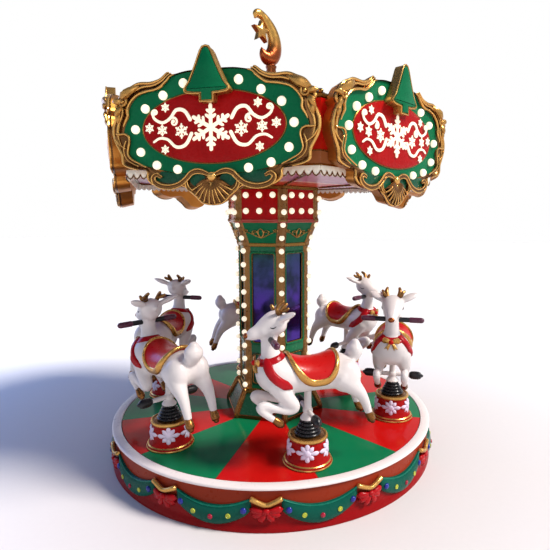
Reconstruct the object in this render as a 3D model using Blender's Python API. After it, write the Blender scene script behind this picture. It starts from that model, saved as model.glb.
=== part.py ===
"""Six-seat fairground carousel with reindeer mounts: a fixed drum base, a turning deck that carries
a six-sided column and its canopy, and six reindeer that rise and fall on posts.
Metres, +Z up. The origin is the centre of the base, on the ground, and -Y is the front."""

import math

import bmesh
import bpy
from mathutils import Matrix, Vector

# Driving dimensions of the whole machine.
STATIONS = 6                # sides of the column, signs and reindeer
SECTOR = math.tau / STATIONS
RIM_RADIUS = 1.200          # outer edge of the white rim
DECK_RADIUS = 1.133         # turning floor
DECK_TOP = 0.262
DECK_THICKNESS = 0.027
RIM_TOP = 0.266
SKIRT_RADIUS = 1.185
SHAFT_CORNER = 0.272        # column shaft, centre to corner
NECK_HEIGHT = 1.530         # where the shaft meets its capital
CEILING_HEIGHT = 1.955
DRUM_CORNER = 1.143         # canopy drum, centre to corner
DRUM_BOTTOM = 2.003
DRUM_TOP = 2.354
SIGN_CENTRE_HEIGHT = 2.215
MOUNT_RADIUS = 0.925        # circle of the reindeer posts

# Fits and steps shared by several pieces.
SEAT_GAP = 0.0003           # between pieces that rest on each other
RUNNING_GAP = 0.006         # round the edge of the turning floor
ROUND_STEPS = 72            # facets round the base
LEVEL = Matrix.Identity(3)


def clear_scene():
    for item in list(bpy.data.objects):
        bpy.data.objects.remove(item)


def paint(name, colour, roughness, metallic=0.0):
    """A plain painted or moulded surface."""
    surface = bpy.data.materials.new(name)
    surface.use_nodes = True
    shader = surface.node_tree.nodes["Principled BSDF"]
    shader.inputs["Base Color"].default_value = (*colour, 1.0)
    shader.inputs["Roughness"].default_value = roughness
    shader.inputs["Metallic"].default_value = metallic
    return surface


def bearing(degrees, radius, height=0.0):
    """A point at an angle from the front (-Y) towards +X."""
    angle = math.radians(degrees)
    return Vector((radius * math.sin(angle), -radius * math.cos(angle), height))


def add_object(name, mesh, surface=None, parent=None):
    item = bpy.data.objects.new(name, mesh)
    bpy.context.scene.collection.objects.link(item)
    if surface:
        mesh.materials.clear()
        mesh.materials.append(surface)
    item.parent = parent
    return item


def finish_mesh(name, shape, smooth_angle=None):
    """Turns a bmesh into a mesh with outward faces."""
    bmesh.ops.recalc_face_normals(shape, faces=shape.faces)
    mesh = bpy.data.meshes.new(name)
    shape.to_mesh(mesh)
    shape.free()
    if smooth_angle is not None:
        mesh.shade_smooth()
        mesh.set_sharp_from_angle(angle=math.radians(smooth_angle))
    return mesh


def ring_stack(name, rings, closed=False, smooth_angle=None):
    """Joins rings of points, all of one count, into a solid. Its ends are capped unless it closes on itself."""
    shape = bmesh.new()
    rows = [[shape.verts.new(point) for point in ring] for ring in rings]
    pairs = list(zip(rows, rows[1:] + rows[:1])) if closed else list(zip(rows, rows[1:]))
    for lower, upper in pairs:
        count = len(lower)
        for i in range(count):
            j = (i + 1) % count
            shape.faces.new((lower[i], lower[j], upper[j], upper[i]))
    if not closed:
        shape.faces.new(rows[0])
        shape.faces.new(rows[-1])
    return finish_mesh(name, shape, smooth_angle)


def turned(name, profile, steps=ROUND_STEPS, first=0.0, smooth_angle=None):
    """A closed (radius, height) profile turned about Z. A profile that starts and ends on the axis is solid."""
    on_axis = profile[0][0] == 0.0
    walls = profile[1:-1] if on_axis else profile
    angles = [first + 360.0 * i / steps for i in range(steps)]
    rings = [[bearing(angle, radius, height) for angle in angles] for radius, height in walls]
    return ring_stack(name, rings, closed=not on_axis, smooth_angle=smooth_angle)


def six_sided(name, profile):
    """A profile turned in six flat sides, with its corners between the signs."""
    return turned(name, profile, steps=STATIONS, first=30.0)


def extruded(name, outline, depth, bevel=0.0):
    """An (x, z) outline given thickness from y = 0 to y = -depth, towards the front."""
    shape = bmesh.new()
    back = [shape.verts.new((x, 0.0, z)) for x, z in outline]
    front = [shape.verts.new((x, -depth, z)) for x, z in outline]
    count = len(outline)
    shape.faces.new(back)
    shape.faces.new(front)
    for i in range(count):
        j = (i + 1) % count
        shape.faces.new((back[i], back[j], front[j], front[i]))
    if bevel:
        edges = [edge for edge in shape.edges if all(v.co.y < -depth / 2 for v in edge.verts)]
        bmesh.ops.bevel(shape, geom=edges, offset=bevel, segments=1, affect="EDGES")
    return finish_mesh(name, shape)


def limb(name, stations, steps=8):
    """A tapering tube through (point, half_width, half_height) stations, each ring square to its path."""
    points = [Vector(station[0]) for station in stations]
    rings = []
    for i, (_, half_width, half_height) in enumerate(stations):
        ahead = points[min(i + 1, len(points) - 1)]
        behind = points[max(i - 1, 0)]
        along = (ahead - behind).normalized()
        side = Vector((1.0, 0.0, 0.0)) if abs(along.y) > 0.9 else Vector((0.0, 1.0, 0.0))
        side = (side - along * side.dot(along)).normalized()
        over = along.cross(side)
        ring = []
        for k in range(steps):
            turn = math.tau * (k + 0.5) / steps
            offset = side * (half_width * math.cos(turn)) + over * (half_height * math.sin(turn))
            ring.append(points[i] + offset)
        rings.append(ring)
    return ring_stack(name, rings)


def baked(item):
    """The object's mesh with its modifiers applied."""
    bpy.context.view_layer.update()
    graph = bpy.context.evaluated_depsgraph_get()
    return bpy.data.meshes.new_from_object(item.evaluated_get(graph))


def combined(name, base, others, operation="UNION"):
    """A mesh cut by or joined with other meshes."""
    item = add_object(name, base)
    tools = [add_object(f"{name}_tool", other) for other in others]
    for tool in tools:
        change = item.modifiers.new("join", "BOOLEAN")
        change.operation = operation
        change.solver = "EXACT"
        change.object = tool
    mesh = baked(item)
    for used in [item, *tools]:
        bpy.data.objects.remove(used)
    return mesh


def moved(mesh, offset=(0.0, 0.0, 0.0), turn=LEVEL):
    mesh.transform(Matrix.Translation(offset) @ turn.to_4x4())
    return mesh


def mirrored(half):
    """A closed outline from its right half, which runs from the top of the centre line to the bottom."""
    return [*half, *[(-x, z) for x, z in reversed(half) if abs(x) > 1e-6]]


# The base, which stays still.

SKIRT_WALL = 0.012
FOOT_FLARE = 0.020
PLATE_THICKNESS = 0.012
BEARING_RADIUS = 0.300


def base_skirt():
    inner = SKIRT_RADIUS - SKIRT_WALL
    top = RIM_TOP - 0.030
    profile = [
        (inner, 0.0), (SKIRT_RADIUS + FOOT_FLARE, 0.0), (SKIRT_RADIUS + FOOT_FLARE, 0.022),
        (SKIRT_RADIUS, 0.040), (SKIRT_RADIUS, top), (inner, top)]
    return turned("base_skirt", profile, smooth_angle=30)


def base_rim():
    low = RIM_TOP - 0.030 + SEAT_GAP
    inner = DECK_RADIUS + RUNNING_GAP
    profile = [
        (inner, low), (RIM_RADIUS - 0.006, low), (RIM_RADIUS, low + 0.008),
        (RIM_RADIUS, RIM_TOP - 0.008), (RIM_RADIUS - 0.008, RIM_TOP), (inner, RIM_TOP)]
    return turned("base_rim", profile, smooth_angle=30)


def base_frame():
    """Floor plate and the drum of the slewing bearing that carries the deck."""
    plate = SKIRT_RADIUS - SKIRT_WALL - SEAT_GAP
    top = DECK_TOP - DECK_THICKNESS - SEAT_GAP
    profile = [
        (0.0, 0.0), (plate, 0.0), (plate, PLATE_THICKNESS),
        (BEARING_RADIUS, PLATE_THICKNESS), (BEARING_RADIUS, top), (0.0, top)]
    return turned("base_frame", profile, smooth_angle=30)


BOWS = 12
SWAG_TOP_AT_BOW = 0.210
SWAG_TOP_AT_MIDDLE = 0.153
SWAG_DEPTH_AT_BOW = 0.070
SWAG_DEPTH_AT_MIDDLE = 0.102
SWAG_RELIEF = 0.026
BOW_HALF_ANGLE = 4.0
BOW_TOP = 0.228
BOW_BOTTOM = 0.085
BOW_RELIEF = 0.036


def garland():
    """Twelve hanging swags that meet under twelve bows, one band round the skirt."""
    inner = SKIRT_RADIUS + SEAT_GAP
    bow_spacing = 360.0 / BOWS
    rings = []
    for i in range(ROUND_STEPS):
        angle = 360.0 * i / ROUND_STEPS
        from_bow = (angle + bow_spacing / 2) % bow_spacing
        across = min(from_bow, bow_spacing - from_bow)
        if across < BOW_HALF_ANGLE:
            top, bottom, relief = BOW_TOP, BOW_BOTTOM, BOW_RELIEF
        else:
            sag = math.sin(math.pi * across / bow_spacing) ** 1.2
            top = SWAG_TOP_AT_BOW + (SWAG_TOP_AT_MIDDLE - SWAG_TOP_AT_BOW) * sag
            depth = SWAG_DEPTH_AT_BOW + (SWAG_DEPTH_AT_MIDDLE - SWAG_DEPTH_AT_BOW) * sag
            bottom, relief = top - depth, SWAG_RELIEF
        middle, half = (top + bottom) / 2, (top - bottom) / 2
        outer = inner + relief
        section = [
            (inner, bottom), (inner + relief * 0.6, middle - half * 0.85),
            (outer, middle - half * 0.35), (outer, middle + half * 0.35),
            (inner + relief * 0.6, middle + half * 0.85), (inner, top)]
        rings.append([bearing(angle, radius, height) for radius, height in section])
    return ring_stack("garland", rings, closed=True)


# The turning floor, column and canopy.

PLINTH_FOOT = 0.380
PLINTH_HEAD = 0.300
PLINTH_TOP = 0.450
MIRROR_CORNER = 0.258
MIRROR_WALL = 0.014
CAPITAL_CORNER = 0.346
BAND_BOTTOM = 1.714
SHELL = 0.014
WINDOW_HALF_WIDTH = 0.098
WINDOWS = ((0.492, 0.742), (0.800, 1.490))


def deck():
    profile = [
        (0.0, DECK_TOP - DECK_THICKNESS), (DECK_RADIUS, DECK_TOP - DECK_THICKNESS),
        (DECK_RADIUS, DECK_TOP), (0.0, DECK_TOP)]
    return turned("deck", profile, smooth_angle=30)


def column_plinth():
    low = DECK_TOP + SEAT_GAP
    inner = MIRROR_CORNER - MIRROR_WALL
    profile = [
        (inner, low), (PLINTH_FOOT, low), (PLINTH_FOOT, low + 0.022),
        (PLINTH_HEAD, PLINTH_TOP - 0.012), (PLINTH_HEAD, PLINTH_TOP), (inner, PLINTH_TOP)]
    return six_sided("column_plinth", profile)


def column_mirrors():
    low, high = PLINTH_TOP + SEAT_GAP, NECK_HEIGHT - SEAT_GAP
    inner = MIRROR_CORNER - MIRROR_WALL
    profile = [(inner, low), (MIRROR_CORNER, low), (MIRROR_CORNER, high), (inner, high)]
    return six_sided("column_mirrors", profile)


def column_frame():
    """Corner posts and cross bands round the mirrors, with a dado opening and a mirror opening in each side."""
    low, high = PLINTH_TOP + SEAT_GAP, NECK_HEIGHT - SEAT_GAP
    inner = MIRROR_CORNER + SEAT_GAP
    profile = [(inner, low), (SHAFT_CORNER, low), (SHAFT_CORNER, high), (inner, high)]
    cage = six_sided("column_frame", profile)
    cutters = []
    for side in range(STATIONS // 2):
        for bottom, top in WINDOWS:
            outline = [
                (-WINDOW_HALF_WIDTH, bottom), (WINDOW_HALF_WIDTH, bottom),
                (WINDOW_HALF_WIDTH, top), (-WINDOW_HALF_WIDTH, top)]
            cutter = extruded("window", outline, 4 * SHAFT_CORNER)
            moved(cutter, (0.0, 2 * SHAFT_CORNER, 0.0))
            moved(cutter, turn=Matrix.Rotation(side * SECTOR, 3, "Z"))
            cutters.append(cutter)
    return combined("column_frame", cage, cutters, "DIFFERENCE")


def column_capital():
    high = CEILING_HEIGHT - SEAT_GAP
    outer = [
        (SHAFT_CORNER + 0.008, NECK_HEIGHT), (SHAFT_CORNER + 0.008, NECK_HEIGHT + 0.022),
        (CAPITAL_CORNER - 0.006, BAND_BOTTOM - 0.016), (CAPITAL_CORNER + 0.006, BAND_BOTTOM - 0.012),
        (CAPITAL_CORNER + 0.006, BAND_BOTTOM + 0.006), (CAPITAL_CORNER, BAND_BOTTOM + 0.010),
        (CAPITAL_CORNER, high)]
    inner = [
        (CAPITAL_CORNER - SHELL, high), (CAPITAL_CORNER - SHELL, BAND_BOTTOM),
        (MIRROR_CORNER - MIRROR_WALL, NECK_HEIGHT + 0.020), (MIRROR_CORNER - MIRROR_WALL, NECK_HEIGHT)]
    return six_sided("column_capital", outer + inner)


def canopy_ceiling():
    edge = DRUM_CORNER - 0.028 - SEAT_GAP
    profile = [
        (0.0, CEILING_HEIGHT), (CAPITAL_CORNER + 0.010, CEILING_HEIGHT), (edge, DRUM_BOTTOM + 0.006),
        (edge, DRUM_BOTTOM + 0.026), (CAPITAL_CORNER, CEILING_HEIGHT + 0.020), (0.0, CEILING_HEIGHT + 0.020)]
    return six_sided("canopy_ceiling", profile)


def canopy_drum():
    inner = DRUM_CORNER - 0.028
    profile = [
        (inner, DRUM_BOTTOM), (DRUM_CORNER, DRUM_BOTTOM), (DRUM_CORNER, DRUM_TOP), (inner, DRUM_TOP)]
    return six_sided("canopy_drum", profile)


ROOF_TOP = 2.620
ROOF_CAP = 0.110


def canopy_roof():
    low = DRUM_TOP + SEAT_GAP
    profile = [
        (DRUM_CORNER - 0.060, low), (DRUM_CORNER, low), (DRUM_CORNER, low + 0.022),
        (ROOF_CAP, ROOF_TOP), (0.0, ROOF_TOP)]
    shell = [(0.0, ROOF_TOP - 0.030), (ROOF_CAP, ROOF_TOP - 0.030)]
    return six_sided("canopy_roof", [*shell, *profile])


# Signs: a cartouche board with a scrolled edge, a shell below and a tree on top.

SIGN_DEPTH = 0.098
SIGN_RECESS = 0.022
SIGN_TAPER = 0.955          # size of the back of a sign over its front, so that neighbours clear each other
SIGN_EDGE = [
    (0.000, 0.294), (0.130, 0.291), (0.225, 0.276), (0.246, 0.290), (0.290, 0.257), (0.348, 0.242),
    (0.420, 0.244), (0.468, 0.226), (0.512, 0.205), (0.545, 0.162), (0.566, 0.126), (0.548, 0.098),
    (0.572, 0.055), (0.588, 0.005), (0.580, -0.052), (0.540, -0.131), (0.530, -0.188), (0.450, -0.215),
    (0.388, -0.226), (0.386, -0.270), (0.348, -0.304), (0.265, -0.323), (0.182, -0.309), (0.141, -0.332),
    (0.100, -0.362), (0.060, -0.400), (0.000, -0.413)]
BOARD_EDGE = [
    (0.000, 0.268), (0.130, 0.262), (0.250, 0.236), (0.370, 0.194), (0.460, 0.124), (0.505, 0.040),
    (0.500, -0.050), (0.450, -0.130), (0.360, -0.190), (0.240, -0.226), (0.110, -0.236), (0.000, -0.236)]
TREE_PROUD = 0.052          # how far the tree stands out from the front of the sign
TREE_EDGE = [
    (0.012, 0.382), (0.030, 0.370), (0.122, 0.180), (0.112, 0.160), (0.037, 0.157), (0.037, 0.116)]


def sign():
    board = extruded("sign", mirrored(SIGN_EDGE), SIGN_DEPTH)
    for corner in board.vertices:
        if corner.co.y > -SIGN_DEPTH / 2:
            corner.co.x *= SIGN_TAPER
            corner.co.z *= SIGN_TAPER
    recess = extruded("recess", mirrored(BOARD_EDGE), 0.1)
    moved(recess, (0.0, -SIGN_DEPTH + SIGN_RECESS, 0.0))
    board = combined("sign", board, [recess], "DIFFERENCE")
    tree = extruded("tree", mirrored([(0.0, TREE_EDGE[0][1]), *TREE_EDGE, (0.0, TREE_EDGE[-1][1])]),
                    SIGN_DEPTH + TREE_PROUD - 0.010)
    moved(tree, (0.0, -0.010, 0.0))
    board = combined("sign", board, [tree], "UNION")
    back = DRUM_CORNER * math.cos(SECTOR / 2) + SEAT_GAP
    return moved(board, (0.0, -back, SIGN_CENTRE_HEIGHT))


# Finial: a crescent moon on a flared neck, with a star between its horns.

MOON_TURN = 60.0            # the crescent opens towards the corner between two signs
MOON_LINE = [               # (x, height, half thickness) along the crescent, from its upper horn
    (-0.128, 3.176, 0.018), (-0.100, 3.172, 0.030), (-0.045, 3.140, 0.040), (0.008, 3.085, 0.046),
    (0.036, 3.020, 0.052), (0.040, 2.955, 0.056), (0.012, 2.900, 0.058), (-0.036, 2.872, 0.046),
    (-0.076, 2.888, 0.032), (-0.092, 2.912, 0.018)]
MOON_DEPTH = 0.72           # depth of the crescent over its thickness
STAR_RADIUS = 0.076
STAR_CENTRE = (-0.098, 3.045)
NECK_TOP = 2.850


def finial():
    neck = turned("finial", [
        (0.0, ROOF_TOP + SEAT_GAP), (0.100, ROOF_TOP + SEAT_GAP), (0.092, ROOF_TOP + 0.018),
        (0.058, ROOF_TOP + 0.100), (0.030, NECK_TOP - 0.040), (0.028, NECK_TOP), (0.0, NECK_TOP + 0.010)], steps=12)
    moon = limb("moon", [((x, 0.0, height), MOON_DEPTH * half, half) for x, height, half in MOON_LINE], steps=8)
    points = []
    for i in range(10):
        radius = STAR_RADIUS if i % 2 == 0 else 0.45 * STAR_RADIUS
        turn = math.tau * i / 10 + 0.3
        points.append((radius * math.cos(turn) + STAR_CENTRE[0], radius * math.sin(turn) + STAR_CENTRE[1]))
    star = moved(extruded("star", points, 0.032), (0.0, 0.016, 0.0))
    turn = Matrix.Rotation(math.radians(MOON_TURN), 3, "Z")
    return combined("finial", neck, [moved(moon, turn=turn), moved(star, turn=turn)], "UNION")


# One ride: pedestal, bellows, lift post with footrest, reindeer, saddle and handlebar.
# These are modelled facing +X with the post on the Z axis.

PEDESTAL_TOP = 0.440
POST_RADIUS = 0.020
POST_BORE = 0.0205
POST_FOOT = 0.320
POST_TOP = 0.775
BELLOWS_TOP = 0.535
BELLOWS_FOLDS = 5
FOOTREST_HEIGHT = 0.582
FOOTREST_HALF = 0.210
PEG_LENGTH = 0.090
PEG_RADIUS = 0.031
BAR_CENTRE = (0.235, 0.0, 1.045)
BAR_HALF = 0.200
BAR_RADIUS = 0.019


def pedestal():
    low = DECK_TOP + SEAT_GAP
    profile = [
        (POST_BORE, low), (0.146, low), (0.150, low + 0.012), (0.139, low + 0.030), (0.125, low + 0.056),
        (0.116, PEDESTAL_TOP - 0.022), (0.121, PEDESTAL_TOP - 0.010), (0.112, PEDESTAL_TOP),
        (POST_BORE, PEDESTAL_TOP)]
    return turned("pedestal", profile, steps=20, smooth_angle=40)


def bellows():
    low = PEDESTAL_TOP + SEAT_GAP
    rows = 2 * BELLOWS_FOLDS
    outer = []
    for i in range(rows + 1):
        share = i / rows
        radius = 0.078 - 0.038 * share
        outer.append((radius if i % 2 == 0 else radius - 0.012, low + (BELLOWS_TOP - low) * share))
    inner = [(0.025, BELLOWS_TOP), (0.050, low)]
    return turned("bellows", outer + inner, steps=16, smooth_angle=60)


def lift_post():
    shaft = turned("lift_post", [
        (0.0, POST_FOOT), (POST_RADIUS, POST_FOOT), (POST_RADIUS, BELLOWS_TOP + SEAT_GAP),
        (0.042, BELLOWS_TOP + SEAT_GAP), (0.042, BELLOWS_TOP + 0.006), (POST_RADIUS, BELLOWS_TOP + 0.022),
        (POST_RADIUS, POST_TOP), (0.0, POST_TOP)], steps=12, first=15.0)
    reach = FOOTREST_HALF - PEG_LENGTH
    bar = limb("bar", [
        ((0, -FOOTREST_HALF, 0), PEG_RADIUS * 0.8, PEG_RADIUS * 0.8),
        ((0, -FOOTREST_HALF + 0.008, 0), PEG_RADIUS, PEG_RADIUS),
        ((0, -reach, 0), PEG_RADIUS, PEG_RADIUS), ((0, -reach + 0.002, 0), 0.013, 0.013),
        ((0, reach - 0.002, 0), 0.013, 0.013), ((0, reach, 0), PEG_RADIUS, PEG_RADIUS),
        ((0, FOOTREST_HALF - 0.008, 0), PEG_RADIUS, PEG_RADIUS),
        ((0, FOOTREST_HALF, 0), PEG_RADIUS * 0.8, PEG_RADIUS * 0.8)], steps=8)
    moved(bar, (0.0, 0.0, FOOTREST_HEIGHT))
    return combined("lift_post", shaft, [bar], "UNION")


BODY_LINE = [        # (x, centre height, half height, half width) along the back
    (-0.285, 0.812, 0.030, 0.034), (-0.255, 0.812, 0.080, 0.092), (-0.190, 0.816, 0.104, 0.125),
    (-0.100, 0.812, 0.100, 0.122), (0.000, 0.808, 0.096, 0.118), (0.100, 0.812, 0.104, 0.121),
    (0.190, 0.826, 0.117, 0.125), (0.270, 0.838, 0.098, 0.106), (0.314, 0.842, 0.050, 0.055)]
BODY_STEPS = 12
NECK_LINE = [
    ((0.185, 0.0, 0.850), 0.086, 0.096), ((0.222, 0.0, 0.922), 0.056, 0.060), ((0.236, 0.0, 0.990), 0.047, 0.049),
    ((0.234, 0.0, 1.050), 0.046, 0.048), ((0.218, 0.0, 1.110), 0.046, 0.046)]
HEAD_LINE = [
    ((0.136, 0.0, 1.146), 0.032, 0.030), ((0.162, 0.0, 1.142), 0.066, 0.062), ((0.206, 0.0, 1.130), 0.074, 0.070),
    ((0.256, 0.0, 1.108), 0.060, 0.057), ((0.306, 0.0, 1.084), 0.041, 0.040), ((0.350, 0.0, 1.067), 0.031, 0.030),
    ((0.370, 0.0, 1.061), 0.015, 0.015)]
TAIL_LINE = [
    ((-0.225, 0.0, 0.852), 0.034, 0.032), ((-0.270, 0.0, 0.886), 0.040, 0.036), ((-0.296, 0.0, 0.934), 0.056, 0.046),
    ((-0.302, 0.0, 0.968), 0.040, 0.034), ((-0.303, 0.0, 0.984), 0.016, 0.014)]
LEG_PIECES = 4
SIDE_LINES = [       # pieces on the +Y side, repeated on the other: legs with their hooves, ear, antler
    [((0.215, 0.062, 0.806), 0.058, 0.076), ((0.158, 0.086, 0.714), 0.052, 0.057), ((0.098, 0.092, 0.648), 0.038, 0.038),
     ((0.145, 0.092, 0.632), 0.034, 0.034), ((0.225, 0.092, 0.662), 0.032, 0.032), ((0.300, 0.092, 0.692), 0.030, 0.031),
     ((0.311, 0.092, 0.664), 0.029, 0.027), ((0.264, 0.092, 0.618), 0.024, 0.024), ((0.220, 0.092, 0.580), 0.021, 0.021)],
    [((0.226, 0.092, 0.585), 0.022, 0.022), ((0.198, 0.092, 0.562), 0.026, 0.024), ((0.187, 0.092, 0.552), 0.021, 0.020)],
    [((-0.185, 0.062, 0.800), 0.062, 0.086), ((-0.252, 0.084, 0.740), 0.054, 0.060), ((-0.304, 0.090, 0.686), 0.037, 0.040),
     ((-0.336, 0.090, 0.628), 0.030, 0.030), ((-0.360, 0.090, 0.560), 0.023, 0.023)],
    [((-0.357, 0.090, 0.566), 0.024, 0.024), ((-0.374, 0.090, 0.532), 0.028, 0.027), ((-0.382, 0.090, 0.514), 0.024, 0.024)],
    [((0.190, 0.044, 1.154), 0.022, 0.016), ((0.168, 0.084, 1.176), 0.036, 0.020), ((0.146, 0.124, 1.196), 0.036, 0.018),
     ((0.127, 0.157, 1.211), 0.016, 0.010)],
    [((0.192, 0.030, 1.172), 0.015, 0.015), ((0.174, 0.041, 1.202), 0.015, 0.015), ((0.158, 0.050, 1.222), 0.013, 0.013),
     ((0.146, 0.055, 1.238), 0.008, 0.008)],
    [((0.176, 0.041, 1.198), 0.012, 0.012), ((0.192, 0.052, 1.216), 0.012, 0.012), ((0.197, 0.057, 1.232), 0.007, 0.007)]]


def body_point(x, degrees, extra=0.0):
    """A point on the reindeer's barrel at a distance along it and an angle from the top of the back."""
    for first, second in zip(BODY_LINE, BODY_LINE[1:]):
        if x <= second[0]:
            share = (x - first[0]) / (second[0] - first[0])
            centre, half_height, half_width = (a + (b - a) * share for a, b in zip(first[1:], second[1:]))
            break
    angle = math.radians(degrees)
    return Vector((x, (half_width + extra) * math.sin(angle), centre + (half_height + extra) * math.cos(angle)))


def across(line):
    """The same limb on the other side of the animal."""
    return [((point[0], -point[1], point[2]), width, height) for point, width, height in line]


def barrel(extra=0.0):
    angles = [360.0 * (k + 0.5) / BODY_STEPS for k in range(BODY_STEPS)]
    return ring_stack("barrel", [[body_point(line[0], angle, extra) for angle in angles] for line in BODY_LINE])


def reindeer():
    pieces = [limb("neck", NECK_LINE, 8), limb("head", HEAD_LINE, 8), limb("tail", TAIL_LINE, 6)]
    for i, line in enumerate(SIDE_LINES):
        sides = 6 if i < LEG_PIECES else 4
        pieces += [limb("side", line, sides), limb("side", across(line), sides)]
    animal = combined("reindeer", barrel(), pieces, "UNION")
    fit = SEAT_GAP + 0.0002
    post_hole = turned("post_hole", [
        (0.0, 0.4), (POST_RADIUS + fit, 0.4), (POST_RADIUS + fit, POST_TOP + fit), (0.0, POST_TOP + fit)],
        steps=12, first=15.0)
    bar_hole = handlebar(fit)
    return combined("reindeer", animal, [post_hole, bar_hole], "DIFFERENCE")


SADDLE_FRONT = 0.130
SADDLE_BACK = -0.165
SADDLE_REACH = 100.0        # degrees it hangs round from the top of the back
SADDLE_THICKNESS = 0.016


def saddle():
    """A padded saddle that follows the barrel, rounded off at both ends."""
    middle, half = (SADDLE_FRONT + SADDLE_BACK) / 2, (SADDLE_FRONT - SADDLE_BACK) / 2
    stops = [SADDLE_BACK, -0.152, -0.125, -0.080, 0.000, 0.060, 0.100, 0.120, SADDLE_FRONT]
    rings = []
    for x in stops:
        share = (x - middle) / half
        reach = 34.0 + (SADDLE_REACH - 34.0) * math.sqrt(max(0.0, 1.0 - share ** 4))
        raised = SADDLE_THICKNESS + 0.010 * abs(share) ** 3
        inner, outer = [], []
        for k in range(-4, 5):
            angle = reach * k / 4
            outer.append(body_point(x, angle, raised if abs(k) < 2 else SADDLE_THICKNESS))
            if k % 2 == 0:
                inner.append(body_point(x, angle, -0.030))
        rings.append(outer + inner[::-1])
    block = ring_stack("saddle", rings)
    return combined("saddle", block, [barrel(SEAT_GAP + 0.0002)], "DIFFERENCE")


def handlebar(extra=0.0):
    radius, half = BAR_RADIUS + extra, BAR_HALF + 50 * extra
    bar = limb("handlebar", [
        ((0.0, -half, 0.0), radius * (0.7 if not extra else 1.0), radius * (0.7 if not extra else 1.0)),
        ((0.0, -half + 0.008, 0.0), radius, radius), ((0.0, half - 0.008, 0.0), radius, radius),
        ((0.0, half, 0.0), radius * (0.7 if not extra else 1.0), radius * (0.7 if not extra else 1.0))], steps=8)
    return moved(bar, BAR_CENTRE)


def main():
    clear_scene()
    red = paint("red_gloss", (0.62, 0.02, 0.02), 0.25)
    green = paint("green_gloss", (0.01, 0.22, 0.08), 0.25)
    white = paint("white_gloss", (0.85, 0.82, 0.80), 0.25)
    gold = paint("gold", (0.75, 0.50, 0.12), 0.35, 0.6)
    black = paint("black_rubber", (0.01, 0.01, 0.012), 0.5)
    silver = paint("mirror", (0.55, 0.55, 0.65), 0.03, 1.0)
    pink = paint("ceiling_pink", (0.60, 0.20, 0.35), 0.5)

    turntable = bpy.data.objects.new("turntable", None)
    bpy.context.scene.collection.objects.link(turntable)

    add_object("base_skirt", base_skirt(), red.copy())
    add_object("base_rim", base_rim(), white.copy())
    add_object("base_frame", base_frame(), black.copy())
    add_object("garland", garland(), green.copy())

    add_object("deck", deck(), red.copy(), turntable)
    add_object("column_plinth", column_plinth(), green.copy(), turntable)
    add_object("column_mirrors", column_mirrors(), silver.copy(), turntable)
    add_object("column_frame", column_frame(), green.copy(), turntable)
    add_object("column_capital", column_capital(), red.copy(), turntable)
    add_object("canopy_ceiling", canopy_ceiling(), pink.copy(), turntable)
    add_object("canopy_drum", canopy_drum(), red.copy(), turntable)
    add_object("canopy_roof", canopy_roof(), red.copy(), turntable)
    add_object("finial", finial(), gold.copy(), turntable)

    shapes = {
        "reindeer": (reindeer(), white), "saddle": (saddle(), red), "handlebar": (handlebar(), black),
        "lift_post": (lift_post(), white), "bellows": (bellows(), black), "pedestal": (pedestal(), red)}
    board = sign()
    for side in range(STATIONS):
        turn = Matrix.Rotation(side * SECTOR, 3, "Z")
        add_object(f"sign_{side + 1}", moved(board.copy(), turn=turn), green.copy(), turntable)
        place = bearing(30.0 + 60.0 * side, MOUNT_RADIUS)
        facing = Matrix.Rotation(math.radians(30.0 + 60.0 * side + 180.0), 3, "Z")
        ride = bpy.data.objects.new(f"lift_{side + 1}", None)
        bpy.context.scene.collection.objects.link(ride)
        ride.parent = turntable
        ride.location = place
        for name, (mesh, surface) in shapes.items():
            copy = moved(mesh.copy(), turn=facing)
            add_object(f"{name}_{side + 1}", copy, surface.copy(), ride)


main()
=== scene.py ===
"""The looks of the carousel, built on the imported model. Metres, +Z up, -Y to the front."""

from math import copysign, cos, hypot, pi, radians, sin, sqrt, tan, tau

import bpy
import numpy as np
from mathutils import Matrix, Vector
from mathutils.bvhtree import BVHTree


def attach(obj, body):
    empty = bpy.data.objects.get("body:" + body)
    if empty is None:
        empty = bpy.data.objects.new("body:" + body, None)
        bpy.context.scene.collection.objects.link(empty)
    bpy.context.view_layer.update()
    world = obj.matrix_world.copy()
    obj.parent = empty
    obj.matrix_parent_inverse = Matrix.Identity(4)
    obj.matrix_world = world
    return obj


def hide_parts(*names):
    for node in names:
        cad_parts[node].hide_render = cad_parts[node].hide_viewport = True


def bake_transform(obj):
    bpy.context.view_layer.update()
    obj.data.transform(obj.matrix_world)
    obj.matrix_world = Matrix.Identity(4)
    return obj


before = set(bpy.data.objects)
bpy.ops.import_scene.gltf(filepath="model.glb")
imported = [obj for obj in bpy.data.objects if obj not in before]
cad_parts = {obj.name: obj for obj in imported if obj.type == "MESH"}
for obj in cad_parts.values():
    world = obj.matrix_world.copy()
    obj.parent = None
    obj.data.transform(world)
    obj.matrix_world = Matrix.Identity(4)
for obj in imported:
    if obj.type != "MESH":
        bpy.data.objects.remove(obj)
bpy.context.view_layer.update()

# Sizes shared with the solids.
STATIONS = 6
SIDE_TURN = 60.0            # degrees from one side, corner or ride to the next
CORNER_TURN = 30.0          # degrees from the front side to the first corner
DECK_TOP = 0.262
RIM_RADIUS = 1.2
RIM_TOP = 0.266
DECK_RADIUS = 1.133
SKIRT_RADIUS = 1.185
MOUNT_RADIUS = 0.925
SHAFT_CORNER = 0.272
BAND_BOTTOM = 1.714
BAND_CORNER = 0.346
DRUM_CORNER = 1.143
DRUM_BOTTOM = 2.003
SIDE_SHARE = cos(pi / STATIONS)     # reach of a flat side over reach of a corner
DRUM_FACE = -DRUM_CORNER * SIDE_SHARE
SIGN_BACK = DRUM_CORNER * SIDE_SHARE + 0.0003
SIGN_CENTRE_HEIGHT = 2.215
PEDESTAL_TOP = 0.44
BELLOWS_TOP = 0.535
FOOTREST_HEIGHT = 0.582
FLOOR_HALF = 30.0
IDENTITY = Matrix.Identity(4)

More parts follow.
